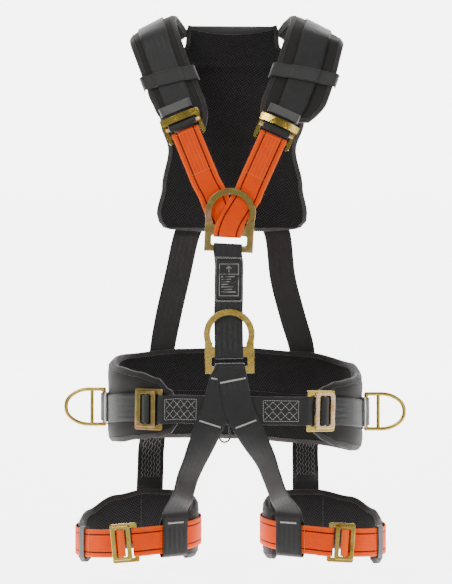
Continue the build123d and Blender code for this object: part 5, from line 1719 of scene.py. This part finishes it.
def make_pad(name, secs, o_in, o_out, body, cad, press=None, press_in=None, seams=(), cap=1.6, lining=None, mid_at=None, warp=None, wrinkle=0.6, seed=1, ends=(True, True)):
    """secs: (lower edge, upper edge, outward normal). Bound edge all round, cover outside, mesh inside."""
    mesh = Mesh()
    r = random.Random(seed)
    ph = [r.uniform(0, 6.28) for _ in range(8)]
    mids = [vmul(vadd(a, b), 0.5) for a, b, _n in secs]
    run = [0.0]
    for a, b in zip(mids, mids[1:]):
        run.append(run[-1] + vlen(vsub(b, a)))
    total = run[-1]
    mid = (o_in + o_out) / 2 if mid_at is None else mid_at
    half = 13
    rings, uvs, dist, line_o, line_i = [], [], [], [], []
    for i, (a, b, nn) in enumerate(secs):
        h = vlen(vsub(b, a))
        w = vunit(vsub(b, a))
        ed = [0.0, 1.2, 3.2, 6.0, 7.4, 8.2, 9.6]
        sc_ = min(1.0, h / 46.0)
        ed = [e * sc_ for e in ed]
        inner = [ed[-1] + (h - 2 * ed[-1]) * k / half for k in range(1, half)]
        u_list = ed + inner + [h - e for e in ed[::-1]]
        d_end = min(run[i] if ends[0] else 99.0, total - run[i] if ends[1] else 99.0)
        outer, inner_pts, row_d = [], [], []
        for u in u_list:
            d = min(u, h - u, d_end + 0.6)
            row_d.append(d)
            k = min(1.0, d / 17.0)
            sw = 0.16 + 0.84 * (1 - (1 - k) ** 2.3)
            if d < 8.0:
                sw += 0.10  # the binding sits on top
            c = u - h / 2
            wr = wrinkle * (sin(run[i] / 23.0 + ph[0]) * sin(u / 17.0 + ph[1]) + 0.6 * sin(run[i] / 11.0 + u / 19.0 + ph[2]) + 0.4 * sin(run[i] / 6.3 + ph[3]) * sin(u / 9.0 + ph[4])) * min(1.0, d / 12.0)
            oo = mid + (o_out - mid) * sw + wr * 0.5
            ii = mid + (o_in - mid) * sw - wr * 0.8
            if press:
                oo += press(c, run[i], total, h)
            if press_in:
                ii -= press_in(c, run[i], total, h)
            outer.append(vadd(vadd(a, vmul(w, u)), vmul(nn, oo)))
            inner_pts.append(vadd(vadd(a, vmul(w, u)), vmul(nn, ii)))
        if warp:
            outer = [warp(q) for q in outer]
            inner_pts = [warp(q) for q in inner_pts]
        rings.append(outer + inner_pts[::-1])
        uv = [(run[i] * MM, (u - h / 2) * MM) for u in u_list]
        uv2 = uv + uv[::-1]
        uv2.append(uv2[0])
        uvs.append(uv2)
        dist.append(row_d + row_d[::-1])
    cols = len(rings[0]) // 2

    def slot(i, j):
        jj = (j + 1) % (2 * cols)
        i2 = min(i + 1, len(rings) - 1)
        d = (dist[i][j] + dist[i][jj] + dist[i2][j] + dist[i2][jj]) / 4
        if d < 7.9 * 0.98:
            return 2
        return 0 if j < cols else 1

    mesh.rings(rings, uvs, slot)
    mats = [M_COVER, lining or M_MESH, M_BIND] + THREAD
    ob = mesh.obj(name, mats, merge=False)
    n = 2 * cols
    pins = [i * n + j for i in range(len(rings)) for j in range(n) if dist[i][j] < 8.6]
    if cap and not QUICK:
        inflate(ob, pins, cap)
    co = [tuple(c / MM for c in v.co) for v in ob.data.vertices]
    # thread: round the binding on both faces, and along the seams
    th = Mesh()
    jl, ju = 4, cols - 5
    m = len(rings)
    nr = [s_[2] for s_ in secs]
    for face in (0, 1):
        sgn = 1.0 if face == 0 else -1.0
        idx = (lambda j: j) if face == 0 else (lambda j: n - 1 - j)
        i0 = 1
        while dist[i0][cols // 2] < 6.4 and i0 < m // 3:
            i0 += 1
        lo_i, hi_i = (i0, m - 1 - i0)
        for j in (jl, ju):
            pts = [co[i * n + idx(j)] for i in range(lo_i, hi_i + 1)]
            dashes(th, pts, [vmul(nr[i], sgn) for i in range(lo_i, hi_i + 1)], 1, r=0.30)
        for i in (lo_i, hi_i):
            pts = [co[i * n + idx(j)] for j in range(jl, ju + 1)]
            dashes(th, pts, [vmul(nr[i], sgn)] * len(pts), 1, r=0.30)
        for kind, face_s, where in seams:
            if face_s != face:
                continue
            if kind == "row":
                j = min(range(7, cols - 7), key=lambda q: abs((uvs[m // 2][q][1] / MM) - where))
                pts = [co[i * n + idx(j)] for i in range(lo_i, hi_i + 1)]
                dashes(th, pts, [vmul(nr[i], sgn) for i in range(lo_i, hi_i + 1)], 1, r=0.30)
            else:
                i = min(range(m), key=lambda q: abs(run[q] / total - where))
                pts = [co[i * n + idx(j)] for j in range(jl, ju + 1)]
                dashes(th, pts, [vmul(nr[i], sgn)] * len(pts), 1, r=0.30)
    tob = th.obj(name + "_thread", [M_WHITE, M_GREY])
    if body:
        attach(ob, body)
        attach(tob, body)
    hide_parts(*cad)
    return ob, run, total


def pad_stops(total, step=7.5):
    e = [0.0, 1.4, 3.4, 6.0, 7.4, 8.2, 10.0]
    n = max(4, int((total - 20.0) / step))
    return e + [10.0 + (total - 20.0) * i / n for i in range(1, n)] + [total - x for x in e[::-1]]


# waist pad
secs = []
for d in pad_stops(PAD_S1 - PAD_S0, 7.0):
    s0 = PAD_S0 + d
    (x, y), (nx, ny), _t = on_loop(WAIST, s0)
    lo, hi = waist_pad_z(s0)
    secs.append(((x, y, lo), (x, y, hi), (nx, ny, 0.0)))


def press_waist(c, run_, total, h):
    z = c
    return 0.0 if abs(z) < 26 else 1.2 * min(1.0, (abs(z) - 26) / 10.0)


def seam_waist(c, run_, total, h):
    return -3.0 * 2.718 ** (-((c - 4.0) / 3.4) ** 2)


make_pad("waist_pad_v", secs, -20.0, -3.4, "harness", ("waist_pad_lining", "waist_pad_foam", "waist_pad_cover"), press_waist, seam_waist, seams=[("row", 1, 4.0)], cap=1.4, seed=3)

# leg pads
for side in "lr":
    secs = []
    for d in pad_stops(LEG_S1[side] - LEG_S0[side], 6.5):
        s0 = LEG_S0[side] + d
        (x, y), (nx, ny), _t = on_loop(LEG[side], s0)
        lo, hi = leg_pad_z(side, s0)
        secs.append(((x, y, lo), (x, y, hi), (nx, ny, 0.0)))

    def seam_leg(c, run_, total, h):
        return -2.6 * 2.718 ** (-((run_ - total * 0.5) / 4.0) ** 2)

    make_pad("leg_pad_%s_v" % side, secs, -16.6, -3.6, "leg_loop_" + side, ("leg_pad_%s_lining" % side, "leg_pad_%s_cover" % side), None, seam_leg, seams=[("col", 1, 0.5)], cap=1.3, seed=5)

# back pad
YT = [
    (287.5, -57.0, 57.0),
    (290.5, -108.0, 108.0),
    (295.0, -121.0, 120.0),
    (303.5, -128.0, 128.5),
    (318.0, -131.5, 130.0),
    (365.0, -122.0, 122.0),
    (428.0, -111.0, 110.0),
    (474.0, -124.0, 124.0),
    (528.0, -146.0, 148.0),
    (549.0, -154.0, 156.0),
    (575.0, -119.0, 119.0),
    (606.0, -80.0, 80.0),
    (628.0, -79.0, 79.0),
    (640.0, -76.0, 76.0),
]
secs = []
nb = vunit((0.0, 1.0, 0.115))
nb = vunit((0.0, 1.0, -SLOPE))
for d in pad_stops(640.0 - 287.5, 7.0):
    z = 287.5 + d
    xl, xr = lerp_table(YT, z)
    secs.append(((xl, back_y(z), z), (xr, back_y(z), z), nb))


def seam_back(c, run_, total, h):
    a = -2.4 * 2.718 ** (-((run_ - total * 0.79) / 4.0) ** 2)
    return a


def neckline(q):
    """The top edge dips between the shoulders."""
    if q[2] <= 575.0:
        return q
    top = 628.0 + 12.0 * min(1.0, (q[0] / 76.0) ** 2)
    f = (top - 575.0) / 65.0
    z = 575.0 + (q[2] - 575.0) * f
    return (q[0], q[1] - (z - q[2]) * 0.115, z)


make_pad("back_pad_v", secs, -16.2, -0.4, "harness", ("back_pad_lining", "back_pad_foam", "back_pad_cover"), lambda c, r_, t, h: -0.3, seam_back, seams=[("row", 0, 40.0), ("row", 0, -40.0)], cap=1.2, seed=9, warp=neckline)

# shoulder pads
for side in "lr":
    fr = shoulder_frames(side, 64)
    secs = []
    m = len(fr)
    for i, (a, b, nn, t) in enumerate(fr):
        w = vunit(vsub(b, a))
        j = (m - 1 - i) * 25.0 / m
        sh = 1.2 + (16.0 * (1 - j / 3.0) ** 2 if j < 3 else 0.0)
        secs.append((vadd(a, vmul(w, sh)), vsub(b, vmul(w, sh)), nn))
    make_pad("shoulder_pad_%s_v" % side, secs, -15.2, -0.6, "harness", ("shoulder_pad_%s_core" % side, "shoulder_pad_%s_cover" % side), None, None, cap=1.2, seed=12, ends=(True, True))


# ================================================================ metal and moulded parts
HARD = {
    "sternal_ring": M_BRONZE,
    "ventral_ring": M_OLIVE,
    "dorsal_ring": M_BRONZE,
    "adjuster_l": M_GOLD,
    "adjuster_r": M_GOLD,
    "adjuster_bar_l": M_PINK,
    "adjuster_bar_r": M_PINK,
    "side_ring_l": M_GOLD,
    "side_ring_r": M_GOLD,
    "plate_waist_l": M_BRONZE,
    "plate_waist_r": M_GOLD,
    "plate_leg_l": M_GOLD,
    "plate_leg_r": M_OLIVE,
    "link_waist_l": M_BRONZE,
    "link_waist_r": M_PINK,
    "link_leg_l": M_GOLD,
    "link_leg_r": M_OLIVE,
    "dorsal_plate": M_PLAST,
}


def uv_box(ob):
    me = ob.data
    layer = me.uv_layers.new(name="uv")
    for poly in me.polygons:
        ax = max(range(3), key=lambda k: abs(poly.normal[k]))
        i, j = ((1, 2), (0, 2), (0, 1))[ax]
        for li in poly.loop_indices:
            co = me.vertices[me.loops[li].vertex_index].co
            layer.data[li].uv = (co[i], co[j])


for n_, m_ in list(HARD.items()) + [("wrap_waist_l", M_BLACK), ("wrap_waist_r", M_BLACK), ("wrap_leg_l", M_ORANGE), ("wrap_leg_r", M_ORANGE)]:
    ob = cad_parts[n_]
    ob.data.materials.clear()
    ob.data.materials.append(m_)
    ob.data.polygons.foreach_set("material_index", [0] * len(ob.data.polygons))
    ob.data.polygons.foreach_set("use_smooth", [True] * len(ob.data.polygons))
    ob.data.set_sharp_from_angle(angle=radians(32))
    if m_ in (M_PLAST, M_BLACK, M_ORANGE):
        uv_box(ob)

# ================================================================ label
me_, mats, s = OB_LABEL
PZ0, PZ1 = s.near((-6.2, -137.0, 233.0)), s.near((-6.6, -137.5, 168.0))
sd = front_side(s, (PZ0 + PZ1) / 2)
lo_, hi_ = min(PZ0, PZ1), max(PZ0, PZ1)
for u_, e_ in ((20.4, 2.2), (18.9, 0.6)):
    s.stitches(me_, [(-u_, lo_ - e_), (u_, lo_ - e_), (u_, hi_ + e_), (-u_, hi_ + e_), (-u_, lo_ - e_)], 1, side=sd, lift=0.5 if u_ < 20 else 0.05)
OB_LAB = me_.obj("label_strap_v", mats)

M_PATCH = cover_fabric("label_patch", (0.020, 0.019, 0.019), (0.032, 0.031, 0.030), 0.7, 0.55)
M_PRINT = thread_mat("label_print", (0.55, 0.54, 0.52))
pm = Mesh()
ps = Strap([(p_[0], p_[1] - 0.55) + tuple(p_[2:]) for p_ in PATCH], 0.7, 2.0, 77, ripple=0.02)
ps.build(pm, 0, cols=10)
psd = front_side(ps, ps.length / 2)


def bar(u0, v0, u1, v1, wd):
    """A flat printed bar on the patch."""
    n = 6
    dx, dy = u1 - u0, v1 - v0
    ln = sqrt(dx * dx + dy * dy)
    px_, py_ = -dy / ln * wd / 2, dx / ln * wd / 2
    rows, uvs = [], []
    for i in range(n + 1):
        f = i / n
        row, uv = [], []
        for k in (-1, 1):
            q, _m = ps.at(u0 + dx * f + px_ * k, v0 + dy * f + py_ * k, 0.04, psd)
            row.append(q)
            uv.append((f * ln * MM, k * wd * MM))
        rows.append(row)
        uvs.append(uv)
    pm.grid(rows, uvs, 1)
    pm.grid([r_[::-1] for r_ in rows], [u_[::-1] for u_ in uvs], 1)


L_ = ps.length
top_v = 0.0 if ps.at(0, 0)[0][2] > ps.at(0, L_)[0][2] else L_
dv = 1.0 if top_v == 0.0 else -1.0


def PV(d):
    return top_v + dv * d


for a_, b_ in (((-15, 6), (15, 6)), ((15, 6), (15, 56)), ((15, 56), (-15, 56)), ((-15, 56), (-15, 6)), ((-15, 22), (15, 22))):
    bar(a_[0], PV(a_[1]), b_[0], PV(b_[1]), 0.9)
bar(0, PV(10), 0, PV(19), 1.6)
bar(0, PV(9), -4, PV(13.5), 1.5)
bar(0, PV(9), 4, PV(13.5), 1.5)
for i_, w_ in enumerate((11, 8, 12, 6, 10, 9, 12)):
    d_ = 26 + i_ * 4.0
    bar(-12, PV(d_), -12 + w_ * 2 * 0.95, PV(d_), 1.3)
pob = pm.obj("label_patch_v", [M_PATCH, M_PRINT])
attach(pob, "harness")
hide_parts("label_patch")

# ================================================================ pieces not attached to a body: transforms baked, CAD parts hidden
def two(ob, cad):
    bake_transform(ob)
    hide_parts(cad)


two(OB_CHEST, "chest_webbing")
two(OB_LAB, "label_strap")
for side in "lr":
    k = -1.0 if side == "l" else 1.0
    two(RISERS[side], "riser_" + side)
    two(REARS[side], "rear_leg_strap_" + side)

# ================================================================ cord
CORD_D = 0.003
# the route's points, the low ones moved out so that the spline has the tube's length
CORD_V = [(-17.0, -142.8, -18.0), (-21.1, -141.0, -37.4), (-22.1, -138.5, -49.2), (-14.1, -138.5, -56.2), (-3.9, -139.0, -50.3), (-5.5, -141.0, -37.4), (-9.0, -142.8, -18.0)]
M_CORD = ribbed("cord", (0.030, 0.028, 0.028), (0.06, 0.058, 0.056), 0.0009, 0.6, 0.3, 0.3)
cu = bpy.data.curves.new("cord_loop_v", "CURVE")
cu.dimensions = "3D"
sp_ = cu.splines.new("NURBS")
sp_.points.add(len(CORD_V) - 1)
for p_, c_ in zip(sp_.points, CORD_V):
    p_.co = (c_[0] * MM, c_[1] * MM, c_[2] * MM, 1.0)
sp_.order_u = 3
sp_.use_endpoint_u = True
sp_.resolution_u = 24
cu.bevel_depth = CORD_D / 2
cu.bevel_resolution = 4
cu.materials.append(M_CORD)
cord_ob = bpy.data.objects.new("cord_loop_v", cu)
bpy.context.scene.collection.objects.link(cord_ob)
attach(cord_ob, "harness")
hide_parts("cord_loop")

# ================================================================ floor, light, camera
fm, fnt, fb = new_mat("floor_white")
fb.inputs["Base Color"].default_value = (0.80, 0.80, 0.80, 1.0)
fb.inputs["Emission Color"].default_value = (1.0, 1.0, 1.0, 1.0)
fb.inputs["Emission Strength"].default_value = 4.6
fb.inputs["Roughness"].default_value = 0.9
fb.inputs["Specular IOR Level"].default_value = 0.1
tcf = fnt.nodes.new("ShaderNodeTexCoord")
sxf = fnt.nodes.new("ShaderNodeSeparateXYZ")
fnt.links.new(tcf.outputs["Object"], sxf.inputs["Vector"])
mrf = fnt.nodes.new("ShaderNodeMapRange")
mrf.interpolation_type = "SMOOTHSTEP"
mrf.inputs["From Min"].default_value = -0.30
mrf.inputs["From Max"].default_value = -0.02
mrf.inputs["To Min"].default_value = 0.0
mrf.inputs["To Max"].default_value = 4.6
fnt.links.new(sxf.outputs["Y"], mrf.inputs["Value"])
fnt.links.new(mrf.outputs["Result"], fb.inputs["Emission Strength"])
flo = Mesh()
Z0 = -300.0
rows, uvs = [], []
prof = [(-9000.0, Z0), (-120.0, Z0), (6500.0, Z0)]
for i in range(1, 13):
    a = pi / 2 * i / 12
    prof.append((6500.0 + 1500.0 * sin(a), Z0 + 1500.0 * (1 - cos(a))))
prof.append((8000.0, 9000.0))
for y_, z_ in prof:
    rows.append([(-9000.0, y_, z_), (9000.0, y_, z_)])
    uvs.append([(-9.0, y_ * MM), (9.0, y_ * MM)])
flo.grid(rows, uvs, 0)
fl = flo.obj("floor", [fm])

world = bpy.data.worlds.new("studio") if not bpy.context.scene.world else bpy.context.scene.world
bpy.context.scene.world = world
world.use_nodes = True
bg = world.node_tree.nodes.get("Background") or world.node_tree.nodes.new("ShaderNodeBackground")
bg.inputs["Color"].default_value = (1.0, 1.0, 1.0, 1.0)
bg.inputs["Strength"].default_value = 0.24


def area(name, loc, target, size, power, col=(1.0, 1.0, 1.0)):
    ld = bpy.data.lights.new(name, "AREA")
    ld.shape = "RECTANGLE"
    ld.size, ld.size_y = size
    ld.energy = power
    ld.color = col
    ob = bpy.data.objects.new(name, ld)
    ob.location = loc
    d = Vector(target) - Vector(loc)
    ob.rotation_euler = d.to_track_quat("-Z", "Y").to_euler()
    bpy.context.scene.collection.objects.link(ob)


area("key", (-1.3, -2.2, 1.9), (0, 0, 0.2), (0.9, 0.9), 40.0)
area("fill", (1.9, -2.0, 0.7), (0, 0, 0.15), (1.0, 1.4), 15.0)
area("top", (0.0, -0.2, 2.4), (0, 0, 0.1), (1.6, 1.6), 12.0)
area("low", (0.2, -2.4, -0.1), (0, 0, 0.1), (1.6, 0.8), 4.0)
area("back", (0.0, 1.9, 1.6), (0, 0, 0.2), (1.6, 1.2), 6.0)

cam = bpy.data.cameras.new("camera")
co_ = bpy.data.objects.new("camera", cam)
bpy.context.scene.collection.objects.link(co_)
co_.location = (-0.011, -2.745, 0.181)
co_.rotation_euler = (radians(90), 0, 0)
cam.sensor_width = 36.0
cam.sensor_fit = "AUTO"
cam.lens = 102.4
cam.clip_start = 0.05
cam.clip_end = 50.0
bpy.context.scene.camera = co_
